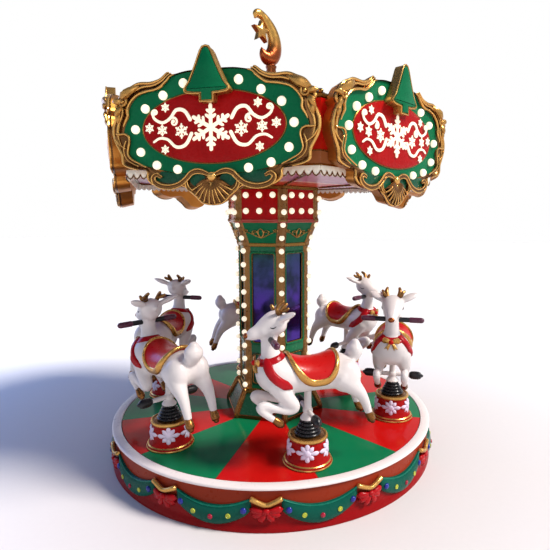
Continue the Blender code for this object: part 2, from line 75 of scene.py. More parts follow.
# Camera.
CAMERA_TURN = 17.1          # degrees round from the front, towards +X
CAMERA_DISTANCE = 3.641
CAMERA_HEIGHT = 1.746
CAMERA_PITCH = 7.1          # degrees below level
CAMERA_YAW = 3.26
CAMERA_LENS = 31.09
CAMERA_SHIFT = -0.0444


# Nodes.

def feed(tree, node, inputs):
    """Gives inputs of a node a value or a colour, or links them to an output of another node."""
    for key, value in inputs.items():
        socket = node.inputs[key]
        if isinstance(value, bpy.types.NodeSocket):
            tree.links.new(value, socket)
        elif socket.type == "RGBA":
            socket.default_value = (*value, 1.0)
        else:
            socket.default_value = value


def add_node(tree, kind, inputs=None, **settings):
    node = tree.nodes.new("ShaderNode" + kind)
    for key, value in settings.items():
        setattr(node, key, value)
    feed(tree, node, inputs or {})
    return node


def maths(tree, operation, *values):
    return add_node(tree, "Math", dict(enumerate(values)), operation=operation).outputs[0]


def measure(tree, operation, *vectors):
    """A number from one or two vectors, such as a length or a dot product."""
    return add_node(tree, "VectorMath", dict(enumerate(vectors)), operation=operation).outputs["Value"]


def object_place(tree):
    return add_node(tree, "TexCoord").outputs["Object"]


def part_of(tree, vector, letter):
    return add_node(tree, "SeparateXYZ", {0: vector}).outputs[letter]


def noise(tree, scale, detail=3.0):
    place = object_place(tree)
    return add_node(tree, "TexNoise", {"Scale": scale, "Detail": detail, "Vector": place}).outputs["Fac"]


def mix_colours(tree, factor, first, second):
    """A mix of two colours, each a constant or a socket."""
    return add_node(tree, "Mix", {0: factor, 6: first, 7: second}, data_type="RGBA").outputs[2]


def spread_of(tree, source, low, high, new_low=0.0, new_high=1.0):
    """Maps a value from one range to another, clamped."""
    return add_node(tree, "MapRange", {0: source, 1: low, 2: high, 3: new_low, 4: new_high}).outputs[0]


def drift_of(tree, wave, low, high):
    """Spreads the middle values of a noise over a range."""
    return spread_of(tree, wave, 0.3, 0.7, low, high)


def relief(tree, wave, strength, depth):
    return add_node(tree, "Bump", {"Height": wave, "Strength": strength, "Distance": depth}).outputs["Normal"]


def new_object(name, data):
    item = bpy.data.objects.new(name, data)
    bpy.context.scene.collection.objects.link(item)
    return item


# Camera and light.

def add_camera():
    data = bpy.data.cameras.new("camera")
    data.sensor_width = 36.0
    data.lens = CAMERA_LENS
    data.shift_x = CAMERA_SHIFT
    data.clip_end = 100.0
    camera = new_object("camera", data)
    turn = radians(CAMERA_TURN)
    camera.location = round_point(CAMERA_DISTANCE, turn, CAMERA_HEIGHT)
    camera.rotation_euler = (radians(90 - CAMERA_PITCH), 0.0, turn - radians(CAMERA_YAW))
    bpy.context.scene.camera = camera


def add_light(name, kind, energy, colour, turn, lift, spread):
    """A light that shines from an azimuth (0 is the front, towards +X) and a height above the horizon."""
    data = bpy.data.lights.new(name, kind)
    data.energy = energy
    data.color = colour
    light = new_object(name, data)
    lift = radians(lift)
    source = round_point(cos(lift), radians(turn), sin(lift))
    light.rotation_euler = source.to_track_quat("Z", "Y").to_euler()
    if kind == "SUN":
        data.angle = radians(spread)
    else:
        data.size = spread
        light.location = source * 6.0 + Vector((0.0, 0.0, 1.4))


def add_surroundings():
    """A white backdrop in a dim blue room, a warm key from the right, and soft fill lights."""
    world = bpy.data.worlds.new("studio")
    world.use_nodes = True
    tree = world.node_tree
    way = add_node(tree, "TexCoord").outputs["Generated"]
    behind = measure(tree, "DOT_PRODUCT", way, (-0.29, 0.957, 0.0))
    backdrop = mix_colours(tree, spread_of(tree, behind, 0.5, 0.72), (0.56, 0.6, 0.69), (1.0, 1.0, 1.0))
    upward = spread_of(tree, part_of(tree, way, "Z"), 0.41, 0.46)
    room = mix_colours(tree, upward, backdrop, (0.03, 0.065, 0.17))
    feed(tree, tree.nodes["Background"], {"Color": room, "Strength": 1.0})
    bpy.context.scene.world = world
    bpy.context.scene.view_settings.view_transform = "Standard"
    add_light("key", "SUN", 4.7, (1.0, 0.94, 0.87), 88.0, 46.0, 17.0)
    add_light("front", "AREA", 28.0, (1.0, 0.95, 0.92), 20.0, 22.0, 2.6)
    add_light("left", "AREA", 84.0, (0.18, 0.36, 1.0), -96.0, 14.0, 2.4)


# Materials.

def new_material(name):
    material = bpy.data.materials.new(name)
    material.use_nodes = True
    return material, material.node_tree, material.node_tree.nodes["Principled BSDF"]


def finish_surface(tree, shader, colour, roughness, grain=36.0, depth=0.0003, variation=0.06, strength=0.25):
    """Colour with slight variation, roughness that drifts and the fine waviness of a moulding."""
    broad = noise(tree, 4.0)
    fine = noise(tree, grain, 5.0)
    if isinstance(colour, tuple):
        dark = tuple(c * (1.0 - 2.2 * variation) for c in colour)
        light = tuple(min(1.0, c * (1.0 + variation) + 0.004) for c in colour)
        tone = mix_colours(tree, drift_of(tree, broad, 0.0, 1.0), dark, light)
    else:
        drift = drift_of(tree, broad, 1.0 - 0.6 * variation, 1.0 + 0.4 * variation)
        tone = add_node(tree, "HueSaturation", {"Value": drift, "Color": colour}).outputs["Color"]
    rough = drift_of(tree, fine, max(0.02, roughness - 0.05), roughness + 0.08)
    bumps = relief(tree, fine, strength, depth)
    feed(tree, shader, {"Base Color": tone, "Roughness": rough, "Normal": bumps})


def moulded(name, colour, roughness=0.22, coat=0.05, gloss=0.22, metallic=0.0, **more):
    """Painted or moulded plastic. Its colour is a constant, or a function that makes it from nodes."""
    material, tree, shader = new_material(name)
    finish_surface(tree, shader, colour(tree) if callable(colour) else colour, roughness, **more)
    feed(tree, shader, {"Specular IOR Level": gloss, "Coat Weight": coat, "Coat Roughness": 0.08,
                        "Metallic": metallic})
    return material


def gold_with_painted_light(name, top_lit_colour, dark, roughness=0.24, metallic=0.88):
    """Gold paint, lighter on what faces up as a painted highlight and darker on what faces down as painted
    shade, and darker in worn patches.
    """
    material, tree, shader = new_material(name)
    fine = noise(tree, 48.0, 2.0)
    facing = add_node(tree, "NewGeometry").outputs["Normal"]
    # Painted light and shade: faces turned up get the lighter gold, faces turned down the darker one.
    up = spread_of(tree, part_of(tree, facing, "Z"), -0.75, 0.55)
    drift = spread_of(tree, noise(tree, 14.0), 0.28, 0.62, 0.74, 1.0)
    feed(tree, shader, {
        "Base Color": mix_colours(tree, maths(tree, "MULTIPLY", up, drift), dark, top_lit_colour),
        "Roughness": drift_of(tree, fine, roughness - 0.03, roughness + 0.04),
        "Metallic": metallic, "Normal": relief(tree, fine, 0.06, 0.0002)})
    return material


def lamp_glass(name, strength):
    """A frosted warm bulb that glows. The white strokes on the signs use it too, so they glow as painted
    light though they are no lamps.
    """
    material, tree, shader = new_material(name)
    finish_surface(tree, shader, (0.78, 0.7, 0.52), 0.22, grain=30.0, depth=0.0002, variation=0.02)
    glow = mix_colours(tree, noise(tree, 40.0), (1.0, 0.86, 0.62), (1.0, 0.94, 0.78))
    feed(tree, shader, {"Emission Color": glow, "Emission Strength": strength})
    return material


def mirror_with_painted_reflection(name):
    """Mirror panels with a painted reflection: teal at the top and violet lower down, dimmed in dark mottled
    patches.
    """
    material, tree, shader = new_material(name)
    cloudy = noise(tree, 3.0)
    murk = noise(tree, 9.0, 2.0)
    drift = drift_of(tree, cloudy, -0.1, 0.1)
    height = maths(tree, "ADD", part_of(tree, object_place(tree), "Z"), drift)
    # Painted reflection: the teal and violet tones and the dark mottling stand in for what the mirror
    # reflects.
    tone = mix_colours(tree, spread_of(tree, height, 1.1, 1.48), (0.052, 0.022, 0.21), (0.012, 0.05, 0.048))
    dim = spread_of(tree, murk, 0.42, 0.62, 0.0, 0.75)
    feed(tree, shader, {
        "Base Color": mix_colours(tree, dim, tone, (0.008, 0.014, 0.018)),
        "Roughness": drift_of(tree, cloudy, 0.04, 0.16),
        "Metallic": 0.9, "Normal": relief(tree, murk, 0.05, 0.0004)})
    return material


def by_height(low, high, bottom, top):
    """Two colours that meet between two levels."""
    def tone(tree):
        height = part_of(tree, object_place(tree), "Z")
        return mix_colours(tree, spread_of(tree, height, bottom, top), low, high)
    return tone


def wedges(name, first, second, seam):
    """Twelve wedges of two colours by turns, with a fine seam between them."""
    def tone(tree):
        place = object_place(tree)
        back = maths(tree, "MULTIPLY", part_of(tree, place, "Y"), -1.0)
        angle = maths(tree, "ARCTAN2", part_of(tree, place, "X"), back)
        count = maths(tree, "MULTIPLY", angle, STATIONS / tau)
        odd = maths(tree, "GREATER_THAN", maths(tree, "FRACT", count), 0.5)
        near = maths(tree, "PINGPONG", maths(tree, "MULTIPLY", count, 2.0), 0.5)
        width = spread_of(tree, near, 0.0, 0.5, 0.0, 0.262)
        gap = maths(tree, "MULTIPLY", width, measure(tree, "LENGTH", place))
        painted = mix_colours(tree, odd, first, second)
        return mix_colours(tree, spread_of(tree, gap, 0.0016, 0.0032), seam, painted)
    return moulded(name, tone, 0.15, 0.0, 0.07, grain=8.0, depth=0.0002, strength=0.1)


def ceiling_tone(tree):
    """Pink ceiling with a red field by the column and red and cream lines."""
    place = object_place(tree)
    reach = 0.0
    for k in range(3):
        out = round_point(1.0, radians(SIDE_TURN * k), 0.0)
        away = maths(tree, "ABSOLUTE", measure(tree, "DOT_PRODUCT", place, out))
        reach = maths(tree, "MAXIMUM", reach, away)
    cream_line, pink = (0.8, 0.66, 0.5), (0.34, 0.095, 0.19)
    tone = RED
    for level, colour in ((0.47, cream_line), (0.482, pink), (0.8, RED), (0.835, cream_line), (0.847, pink)):
        step = spread_of(tree, reach, level - 0.0015, level + 0.0015)
        tone = mix_colours(tree, step, tone, colour)
    return tone


RED = (0.42, 0.004, 0.0035)
GREEN = (0.002, 0.132, 0.048)
TERRACOTTA = (0.25, 0.026, 0.008)

red = moulded("red", RED, 0.26, 0.0, 0.08)
saddle_red = moulded("saddle_red", (0.46, 0.005, 0.004), 0.3, 0.05, 0.2)
sign_red = moulded("sign_red", (0.33, 0.003, 0.003), 0.26, 0.0, 0.08)
bow_red = moulded("bow_red", (0.36, 0.003, 0.006), 0.24, 0.0, 0.14)
sign_green = moulded("sign_green", (0.001, 0.125, 0.046), 0.28, 0.0, 0.08)
swag_green = moulded("swag_green", (0.001, 0.078, 0.052), 0.26, 0.0, 0.09, grain=22.0, depth=0.0002)
dark_red = moulded("strap_red", (0.34, 0.004, 0.008), 0.22, 0.02, 0.12)
green = moulded("green", GREEN, 0.24)
rose = moulded("rose_moulding", (0.42, 0.06, 0.04), 0.2, 0.1, 0.4)
# A lighter green for the top edge of the swags: a painted highlight.
painted_highlight_green = moulded("painted_highlight_green", (0.004, 0.14, 0.09), 0.24, 0.0, 0.12)
panel_green = moulded("panel_green", (0.003, 0.07, 0.03), 0.24)
white = moulded("animal_white", (0.66, 0.61, 0.595), 0.34, 0.05, 0.3, grain=70.0, variation=0.02)
rim_white = moulded("rim_white", (0.78, 0.7, 0.68), 0.3, 0.05, variation=0.008, strength=0.08)
cream = moulded("cream", (0.84, 0.77, 0.64), 0.4, 0.05)
# Each gold below is lighter on top and darker underneath: painted light and shade.
gold = gold_with_painted_light("gold_with_painted_light", (0.46, 0.235, 0.048), (0.06, 0.022, 0.006))
trim_gold = gold_with_painted_light("trim_gold", (0.68, 0.38, 0.1), (0.36, 0.16, 0.032), 0.28, 0.78)
bright_gold = gold_with_painted_light("bright_gold", (0.97, 0.57, 0.16), (0.46, 0.205, 0.044), 0.18, 0.78)
brown_gold = gold_with_painted_light("brown_gold", (0.3, 0.125, 0.03), (0.07, 0.025, 0.007), 0.26, 0.8)
strip_gold = gold_with_painted_light("strip_gold", (0.36, 0.18, 0.05), (0.11, 0.044, 0.012), 0.3, 0.72)
dark_gold = gold_with_painted_light("dark_gold", (0.27, 0.118, 0.03), (0.062, 0.023, 0.007), 0.24, 0.8)
side_gold = gold_with_painted_light("side_gold", (0.8, 0.36, 0.07), (0.42, 0.155, 0.026), 0.38)
copper = gold_with_painted_light("copper", (0.36, 0.1, 0.024), (0.095, 0.018, 0.006), 0.22)
black = moulded("black_rubber", (0.008, 0.008, 0.01), 0.32, 0.1, 0.3, grain=90.0, depth=0.0008)
bellows_black = moulded("bellows_black", (0.008, 0.008, 0.01), 0.24, 0.1, 0.35, grain=90.0)
plum = moulded("plum_grip", (0.085, 0.018, 0.04), 0.26, 0.3)
lilac = moulded("lilac", (0.7, 0.6, 0.74), 0.34, 0.1, variation=0.03)
blue = moulded("ornament_blue", (0.012, 0.022, 0.24), 0.14, 0.25)
yellow = moulded("ornament_yellow", (0.46, 0.5, 0.05), 0.18, 0.2)
magenta = moulded("ornament_red", (0.34, 0.006, 0.03), 0.16, 0.25)
bulb = lamp_glass("bulb", 0.72)
# The white strokes on the signs glow like the bulbs: a painted glow, for they are no lamps.
glowing_stroke_white = lamp_glass("glowing_stroke_white", 0.58)
# The column's mirror panels, their colours a painted reflection.
mirror = mirror_with_painted_reflection("mirror_with_painted_reflection")


# Shapes: each is a pair of points and faces, joined into a piece later.

def turns(count):
    """Even angles all the way round."""
    return [tau * k / count for k in range(count)]


def round_point(radius, angle, height):
    """A point at an angle from the front, towards +X."""
    return Vector((radius * sin(angle), -radius * cos(angle), height))


def circle(x, y, z, radius, count=16):
    """A circle in the (x, z) plane."""
    return [(x + radius * cos(a), y, z + radius * sin(a)) for a in turns(count)]


def upright(rows, y):
    """(x, z) rows as points at one depth."""
    return [(x, y, z) for x, z in rows]


def moved(rows, *shift):
    return [tuple(a + b for a, b in zip(row, shift)) for row in rows]


def mm(*rows):
    """Rows of millimetres as metres."""
    return [tuple(value / 1000.0 for value in row) for row in rows]


def join_shapes(shapes):
    points, faces = [], []
    for some_points, some_faces in shapes:
        start = len(points)
        points.extend(some_points)
        faces.extend(tuple(i + start for i in face) for face in some_faces)
    return points, faces


def turned_shape(shape, matrix):
    return [matrix @ Vector(p) for p in shape[0]], shape[1]


def at_bearing(shape, degrees):
    """Turns a shape built at the front to an angle from the front."""
    return turned_shape(shape, Matrix.Rotation(radians(degrees), 4, "Z"))


def mirrored(shape, x=1.0, y=1.0):
    return [Vector((p[0] * x, p[1] * y, p[2])) for p in shape[0]], [face[::-1] for face in shape[1]]


def across(shape):
    """A shape and the same on the other side of the Y = 0 plane."""
    return [shape, mirrored(shape, y=-1.0)]


def both_sides(shapes):
    """Shapes and the same on the other side of the X = 0 plane."""
    return [*shapes, *[mirrored(shape, x=-1.0) for shape in shapes]]


def smooth_line(points, pieces=6):
    """Points along a smooth curve through rows of numbers."""
    rows = np.array(points, float)
    last = len(rows) - 1
    line = []
    for i in range(last):
        a, b, c, d = rows[max(i - 1, 0)], rows[i], rows[i + 1], rows[min(i + 2, last)]
        for step in range(pieces):
            t = step / pieces
            line.append(0.5 * (2 * b + (c - a) * t + (2 * a - 5 * b + 4 * c - d) * t * t
                               + (3 * b - a - 3 * c + d) * t ** 3))
    line.append(rows[-1])
    return line


def even_points(line, step=None, count=None):
    """Evenly spaced points along a line of (x, z) rows, by their distance or their number."""
    rows = np.array(line, float)
    marks = np.concatenate([[0.0], np.cumsum(np.hypot(*np.diff(rows, axis=0).T))])
    at = np.linspace(0.0, marks[-1], count or int(round(marks[-1] / step)) + 1)
    return np.stack([np.interp(at, marks, rows[:, i]) for i in range(2)], axis=1)


def heading(line, i, closed=False):
    """The unit way along a line at one of its points."""
    last = len(line) - 1
    if closed:
        return (line[(i + 1) % len(line)] - line[i - 1]).normalized()
    return (line[min(i + 1, last)] - line[max(i - 1, 0)]).normalized()


def eased(size, count, end, rate):
    """Sizes along a line that shrinks to a share of its size at both ends."""
    return [size * (end + (1.0 - end) * min(1.0, rate * min(i, count - 1 - i) / count)) for i in range(count)]


def rings_shape(rings, closed=False, capped=True):
    """A skin over rings of points."""
    count = len(rings[0])
    points = [Vector(p) for ring in rings for p in ring]
    faces = []
    for i in range(len(rings) if closed else len(rings) - 1):
        a, b = i * count, ((i + 1) % len(rings)) * count
        for j in range(count):
            k = (j + 1) % count
            faces.append((a + j, a + k, b + k, b + j))
    if capped and not closed:
        faces.append(tuple(range(count))[::-1])
        faces.append(tuple(range(len(points) - count, len(points))))
    return points, faces


def tube(path, radii, steps=10, flat=1.0, closed=False, up=(0.0, 1.0, 0.0), rounded=True):
    """A tube along a path. flat is its size in the way of up over its size across it."""
    line = [Vector(p) for p in path]
    sizes = list(radii) if hasattr(radii, "__len__") else [radii] * len(line)

    def ring(i, push=0.0, shrink=1.0):
        along = heading(line, i, closed)
        side = along.cross(Vector(up))
        if side.length < 1e-4:
            side = along.cross(Vector((1.0, 0.0, 0.0)))
        side.normalize()
        over = side.cross(along).normalized()
        centre = line[i] + along * (push * sizes[i])
        radius = sizes[i] * shrink
        return [centre + side * (radius * cos(a)) + over * (radius * flat * sin(a))
                for a in turns(steps)]

    def end(i, way):
        angles = (35, 62, 82) if sizes[i] > 0.009 else (56,)
        return [ring(i, way * sin(a), cos(a)) for a in map(radians, angles)]

    body = [ring(i) for i in range(len(line))]
    if rounded and not closed:
        body = end(0, -1.0)[::-1] + body + end(len(line) - 1, 1.0)
    return rings_shape(body, closed=closed)


def limb(rows, pieces, steps, flat=1.0, up=(0.0, 1.0, 0.0)):
    """A tube through smoothed rows of (x, y, z, radius)."""
    line = smooth_line(rows, pieces)
    return tube([row[:3] for row in line], [row[3] for row in line], steps, flat, up=up)


def scroll(points, start, end, steps=8, flat=1.0):
    """A tapering tube along a smooth curve."""
    line = smooth_line(points, 4)
    count = len(line)
    return tube(line, [start + (end - start) * i / (count - 1) for i in range(count)], steps, flat)


def volute(centre, radius, first, winds, y, thick):
    """A spiral that winds in to its centre, in the (x, z) plane."""
    points, sizes = [], []
    count = int(20 * winds)
    for i in range(count + 1):
        share = i / count
        reach = radius * (1.0 - 0.8 * share)
        a = radians(first) + tau * winds * share
        points.append((centre[0] + reach * cos(a), y - 0.004 * share, centre[1] + reach * sin(a)))
        sizes.append(thick * (1.0 - 0.35 * share))
    return join_shapes([tube(points, sizes, 8), ball(points[-1], 1.5 * thick, 10, 6)])


def flat_tube(outline, y, radius):
    return tube(upright(outline, y), radius, 8, closed=True)


def lathe(profile, steps=48):
    """An open (radius, height) profile turned about Z. Its ends on the axis are closed."""
    return rings_shape([[(max(r, 1e-5) * cos(a), max(r, 1e-5) * sin(a), z) for a in turns(steps)]
                        for r, z in profile[::-1]])


def closed_lathe(profile, steps=48, first=0.0):
    """A closed (radius, height) profile turned about Z."""
    angles = [radians(first) + a for a in turns(steps)]
    return rings_shape([[round_point(r, a, z) for r, z in profile] for a in angles], closed=True)


def hexagon(profile):
    return closed_lathe(profile, STATIONS, CORNER_TURN)


def box_ring(inner, outer, low, high, bevel=0.003):
    """A bevelled band round the column, centre to corner."""
    return hexagon([(inner, low), (outer - bevel, low), (outer, low + bevel), (outer, high - bevel),
                    (outer - bevel, high), (inner, high)])


def ball(centre, radius, steps=16, rows=10, squash=(1.0, 1.0, 1.0)):
    rings = []
    for i in range(rows + 1):
        turn = pi * i / rows
        r, z = max(sin(turn), 1e-4) * radius, cos(turn) * radius
        rings.append([Vector(centre) + Vector((r * cos(a) * squash[0], r * sin(a) * squash[1],
                                               z * squash[2])) for a in turns(steps)])
    return rings_shape(rings)


def plate(outline, back, front, bevel=0.0, crown=0.0, taper=1.0):
    """An (x, z) outline from y = back to y = front, its front edge rounded off and its face crowned."""
    middle = np.mean(np.array(outline), axis=0)

    def loop(y, inset, scale=1.0):
        ring = []
        for i, (x, z) in enumerate(outline):
            (ax, az), (bx, bz) = outline[i - 1], outline[(i + 1) % len(outline)]
            nx, nz = bz - az, ax - bx
            size = hypot(nx, nz) or 1.0
            if (x - middle[0]) * nx + (z - middle[1]) * nz < 0.0:
                size = -size
            ring.append(Vector(((x - nx / size * inset) * scale, y, (z - nz / size * inset) * scale)))
        return ring

    way = 1.0 if back > front else -1.0
    loops = [loop(back, 0.0, taper), loop(front + way * bevel, 0.0)]
    if bevel:
        loops += [loop(front + way * bevel * 0.3, bevel * 0.3), loop(front, bevel)]
    if crown:
        rim = loops[-1]
        for share in (0.8, 0.6, 0.4, 0.2):
            y = front - way * crown * (1.0 - share ** 2)
            loops.append([Vector((middle[0] + (p.x - middle[0]) * share, y,
                                  middle[1] + (p.z - middle[1]) * share)) for p in rim])
    return rings_shape(loops)


# Pieces.

def raw_mesh(name, shapes):
    points, faces = join_shapes(shapes)
    mesh = bpy.data.meshes.new(name)
    mesh.from_pydata([tuple(p) for p in points], [], faces)
    return mesh


def make_mesh(name, shapes, material, smooth_angle=40.0):
    mesh = raw_mesh(name, shapes)
    mesh.validate()
    mesh.materials.append(material)
    mesh.shade_smooth()
    mesh.set_sharp_from_angle(angle=radians(smooth_angle))
    return mesh


def add_mesh(name, mesh, body, place=IDENTITY, replaces=""):
    piece = new_object(name, mesh)
    piece.matrix_world = place
    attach(piece, body)
    if replaces:
        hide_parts(replaces)


def add_piece(name, shapes, material, body="turntable", smooth_angle=40.0, place=IDENTITY, replaces=""):
    add_mesh(name, make_mesh(name, shapes, material, smooth_angle), body, place, replaces)


def add_six(name, mesh, body, place, replaces=""):
    """A piece for each side or ride. A body or node name gets its number."""
    for k in range(STATIONS):
        node = f"{replaces}_{k + 1}" if replaces else ""
        add_mesh(f"{name}_{k + 1}", mesh, body.format(k + 1), place(k), node)


def face_place(k):
    """Turns what is built at the front to side k of the column and canopy."""
    return Matrix.Rotation(k * tau / STATIONS, 4, "Z")


def ride_place(k):
    """Puts what is built facing +X, with its post on the Z axis, on mount k."""
    angle = radians(CORNER_TURN + SIDE_TURN * k)
    facing = Matrix.Rotation(angle + pi, 4, "Z")
    return Matrix.Translation(round_point(MOUNT_RADIUS, angle, 0.0)) @ facing


def six_faces(name, shapes, material, replaces="", smooth_angle=40.0, place=IDENTITY):
    mesh = make_mesh(name, shapes, material, smooth_angle)
    add_six(name, mesh, "turntable", lambda k: face_place(k) @ place, replaces)


def six_rides(name, shapes, material, replaces="", moving=True):
    body = "ride_{}" if moving else "turntable"
    add_six(name, make_mesh(name, shapes, material), body, ride_place, replaces)


def dress(node, material):
    """Gives a node of the solids a finished material."""
    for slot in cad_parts[node].material_slots:
        slot.material = material


# The base: skirt, rim and its garland.

BOWS = 12
SWAG_START = 0.136          # share of the way between two bows where a swag starts
RIM_HEIGHT = 0.02


def swag_angle(share):
    return radians((share - 0.5) * 360.0 / BOWS)


def swag_line(share):
    """Top edge, depth and relief of a swag at a share of the way between two bows."""
    sag = sin(pi * min(1.0, max(0.0, (share - SWAG_START) / (1.0 - 2.0 * SWAG_START)))) ** 0.8
    return 0.204 - 0.058 * sag, 0.082 + 0.034 * sag, 0.02 + 0.012 * sag


def swag():
    rings = []
    steps = 40
    for i in range(steps + 1):
        share = SWAG_START + (1.0 - 2.0 * SWAG_START) * i / steps
        top, depth, bulge = swag_line(share)
        from_end = min(1.0, min(i, steps - i) / 4.0)
        round_end = sqrt(max(0.1, 1.0 - (1.0 - from_end) ** 2))
        ring = []
        for turn in turns(24):
            out = cos(turn)
            out = bulge * round_end * out ** 0.8 if out > 0.0 else 0.002 * out
            height = top - depth / 2 + (0.72 + 0.28 * round_end) * depth / 2 * sin(turn)
            ring.append(round_point(SKIRT_RADIUS + out, swag_angle(share), height))
        rings.append(ring)
    return rings_shape(rings)


# A raised line along the top edge of each swag, coloured lighter green as a painted highlight.
def swag_highlight_line():
    path = []
    for i in range(29):
        share = SWAG_START + 0.006 + (0.988 - 2.0 * SWAG_START) * i / 28
        top, _, bulge = swag_line(share)
        path.append(round_point(SKIRT_RADIUS + 0.5 * bulge, swag_angle(share), top - 0.005))
    return tube(path, 0.0052, 8, up=(0.0, 0.0, 1.0))


def swag_spot(share, radius, ringed=False):
    top, depth, bulge = swag_line(share)
    height = top - 0.5 * depth
    out = SKIRT_RADIUS + bulge
    shapes = [ball((0.0, -out, height), radius, 14, 8, (1.0, 0.62, 1.0))]
    if ringed:
        shapes.append(tube(circle(0.0, -out - 0.002, height, 1.12 * radius), 0.0038, 6, closed=True))
    return at_bearing(join_shapes(shapes), (share - 0.5) * 360.0 / BOWS)


def around_base(name, shapes, material, first=0.0, replaces=""):
    copies = [at_bearing(join_shapes(shapes), first + 360.0 * i / BOWS) for i in range(BOWS)]
    add_piece(name, copies, material, "base", 60.0, replaces=replaces)


def bow(out):
    """Three pairs of folds at the front, a cloth behind them and a knot."""
    swell = [0.0075, 0.011, 0.015, 0.0182, 0.0206, 0.0224, 0.0232, 0.0222, 0.0182, 0.01]
    top = 0.134
    folds = []
    for reach, low, lean, size in ((0.086, 0.139, 0.009, 0.88), (0.074, 0.104, 0.006, 0.8),
                                   (0.037, 0.076, 0.001, 0.86)):
        ends = [(0.006, out - 0.004, top), (0.4 * reach, out - 0.006, top - 0.4 * (top - low)),
                (0.78 * reach, out - 0.002 + 0.55 * lean, top - 0.8 * (top - low)), (reach, out + lean, low)]
        folds.append(tube(smooth_line(ends, 3), [size * half for half in swell], 12, 0.62))
    return [*both_sides(folds), ball((0.0, out + 0.012, 0.116), 0.056, 16, 8, (1.05, 0.22, 0.48)),
            ball((0.0, out - 0.01, 0.137), 0.02, 14, 8, (1.1, 0.7, 0.8))]


def add_base():
    top = RIM_TOP - RIM_HEIGHT
    foot = mm((-12, 0), (15, 0), (19, 3), (18, 12), (12, 26), (4, 38), (0, 50))
    skirt = closed_lathe(moved([*foot, (0.0, top), (-0.012, top)], SKIRT_RADIUS, 0.0), 240)
    paint = moulded("skirt_paint", by_height((0.24, 0.003, 0.004), TERRACOTTA, 0.126, 0.13), 0.3, 0.0, 0.1)
    add_piece("skirt_wall", [skirt], paint, "base", replaces="base_skirt")
    low = top + 0.0003
    inner = DECK_RADIUS + 0.004
    rim = closed_lathe([
        (inner, low), (RIM_RADIUS - 0.006, low), (RIM_RADIUS - 0.001, low + 0.003), (RIM_RADIUS, low + 0.007),
        (RIM_RADIUS, RIM_TOP - 0.008), (RIM_RADIUS - 0.003, RIM_TOP - 0.0025), (RIM_RADIUS - 0.009, RIM_TOP),
        (inner + 0.006, RIM_TOP), (inner + 0.001, RIM_TOP - 0.002), (inner, RIM_TOP - 0.006)], 240)
    add_piece("rim_ring", [rim], rim_white, "base", 50.0, replaces="base_rim")
    dress("base_frame", black)
    around_base("garland_swags", [swag()], swag_green, replaces="garland")
    # The lighter green line along each swag's top is a painted highlight.
    around_base("garland_highlight_lines", [swag_highlight_line()], painted_highlight_green)
    for name, material, share, radius in (("blue", blue, 0.2, 0.0185), ("yellow", yellow, 0.335, 0.01)):
        spots = [swag_spot(at, radius, material is yellow) for at in (share, 1.0 - share)]
        around_base(f"garland_{name}", spots, material)
    around_base("garland_red", [swag_spot(0.5, 0.015)], magenta)
    out = -(SKIRT_RADIUS + 0.018)
    rows = mm((0, -4, 170), (18, -4, 173), (52, 0, 187), (84, 4, 202), (89, 4, 204.5))
    rod = tube(moved(rows, 0.0, out, 0.0), [0.013, 0.0135, 0.014, 0.0145, 0.0115], 14, rounded=False)
    around_base("garland_bow_rods", both_sides([rod]), trim_gold, 180.0 / BOWS)
    around_base("garland_bow_knots", bow(out), bow_red, 180.0 / BOWS)


# The floor, column and ceiling.

CORNER_PLACE = Matrix.Rotation(radians(CORNER_TURN), 4, "Z")
STRIP_HALF = 0.036
CORNER_SLOPE = tan(radians(CORNER_TURN))
# From the centre to the corner, and height, up the corner of the column and capital.
CORNER_LINE = mm((272.5, 452), (272.5, 1522), (284, 1534), (284, 1552), (342, 1696), (354, 1704),
    (354, 1722), (348, 1732), (348, 1930))
BULB_STEP = 0.0985
BAND_BULB = 0.0215
# Half width, foot and top of the mirror and of the panel below it.
MIRROR = (0.094, 0.806, 1.484)
PANEL = (0.096, 0.494, 0.74)


def strip():
    """Gilt strip up a corner, with a rope edge on each side of a channel."""
    rings = []
    for i, (radius, height) in enumerate(even_points(CORNER_LINE, 0.0066)):
        rope = 0.0032 * sin(tau * i / 4.0)
        section = [(-1.0, -0.002), (-0.96, 0.006), (-0.84, 0.0105 + rope), (-0.7, 0.006), (-0.46, 0.0045),
                   (0.0, 0.005), (0.46, 0.0045), (0.7, 0.006), (0.84, 0.0105 - rope), (0.96, 0.006),
                   (1.0, -0.002), (0.6, -0.006), (0.0, -0.006), (-0.6, -0.006)]
        rings.append([(share * STRIP_HALF, -(radius - abs(share * STRIP_HALF) * CORNER_SLOPE + lift), height)
                      for share, lift in section])
    return rings_shape(rings)


def lamp(centre, radius):
    """A round bulb that stands out towards the front."""
    x, y, z = centre
    return ball((x, y - 0.35 * radius, z), radius, 14, 8, (1.0, 0.92, 1.0))


def socket(centre, radius):
    x, y, z = centre
    return tube(circle(x, y + 0.1 * radius, z, 1.02 * radius), 0.16 * radius, 6, closed=True)


def rounded_frame(half, low, high, corner, y, radius):
    path = []
    for x, z, first in ((half - corner, high - corner, 0), (-half + corner, high - corner, 90),
                        (-half + corner, low + corner, 180), (half - corner, low + corner, 270)):
        for a in (radians(first + 18.0 * k) for k in range(6)):
            path.append((x + corner * cos(a), y, z + corner * sin(a)))
    return tube(path, radius, 8, closed=True)


def inset(half, low, high, by):
    """A smaller upright rectangle inside another."""
    return half - by, low + by, high - by


def rectangle(half, low, high):
    return [(-half, low), (half, low), (half, high), (-half, high)]


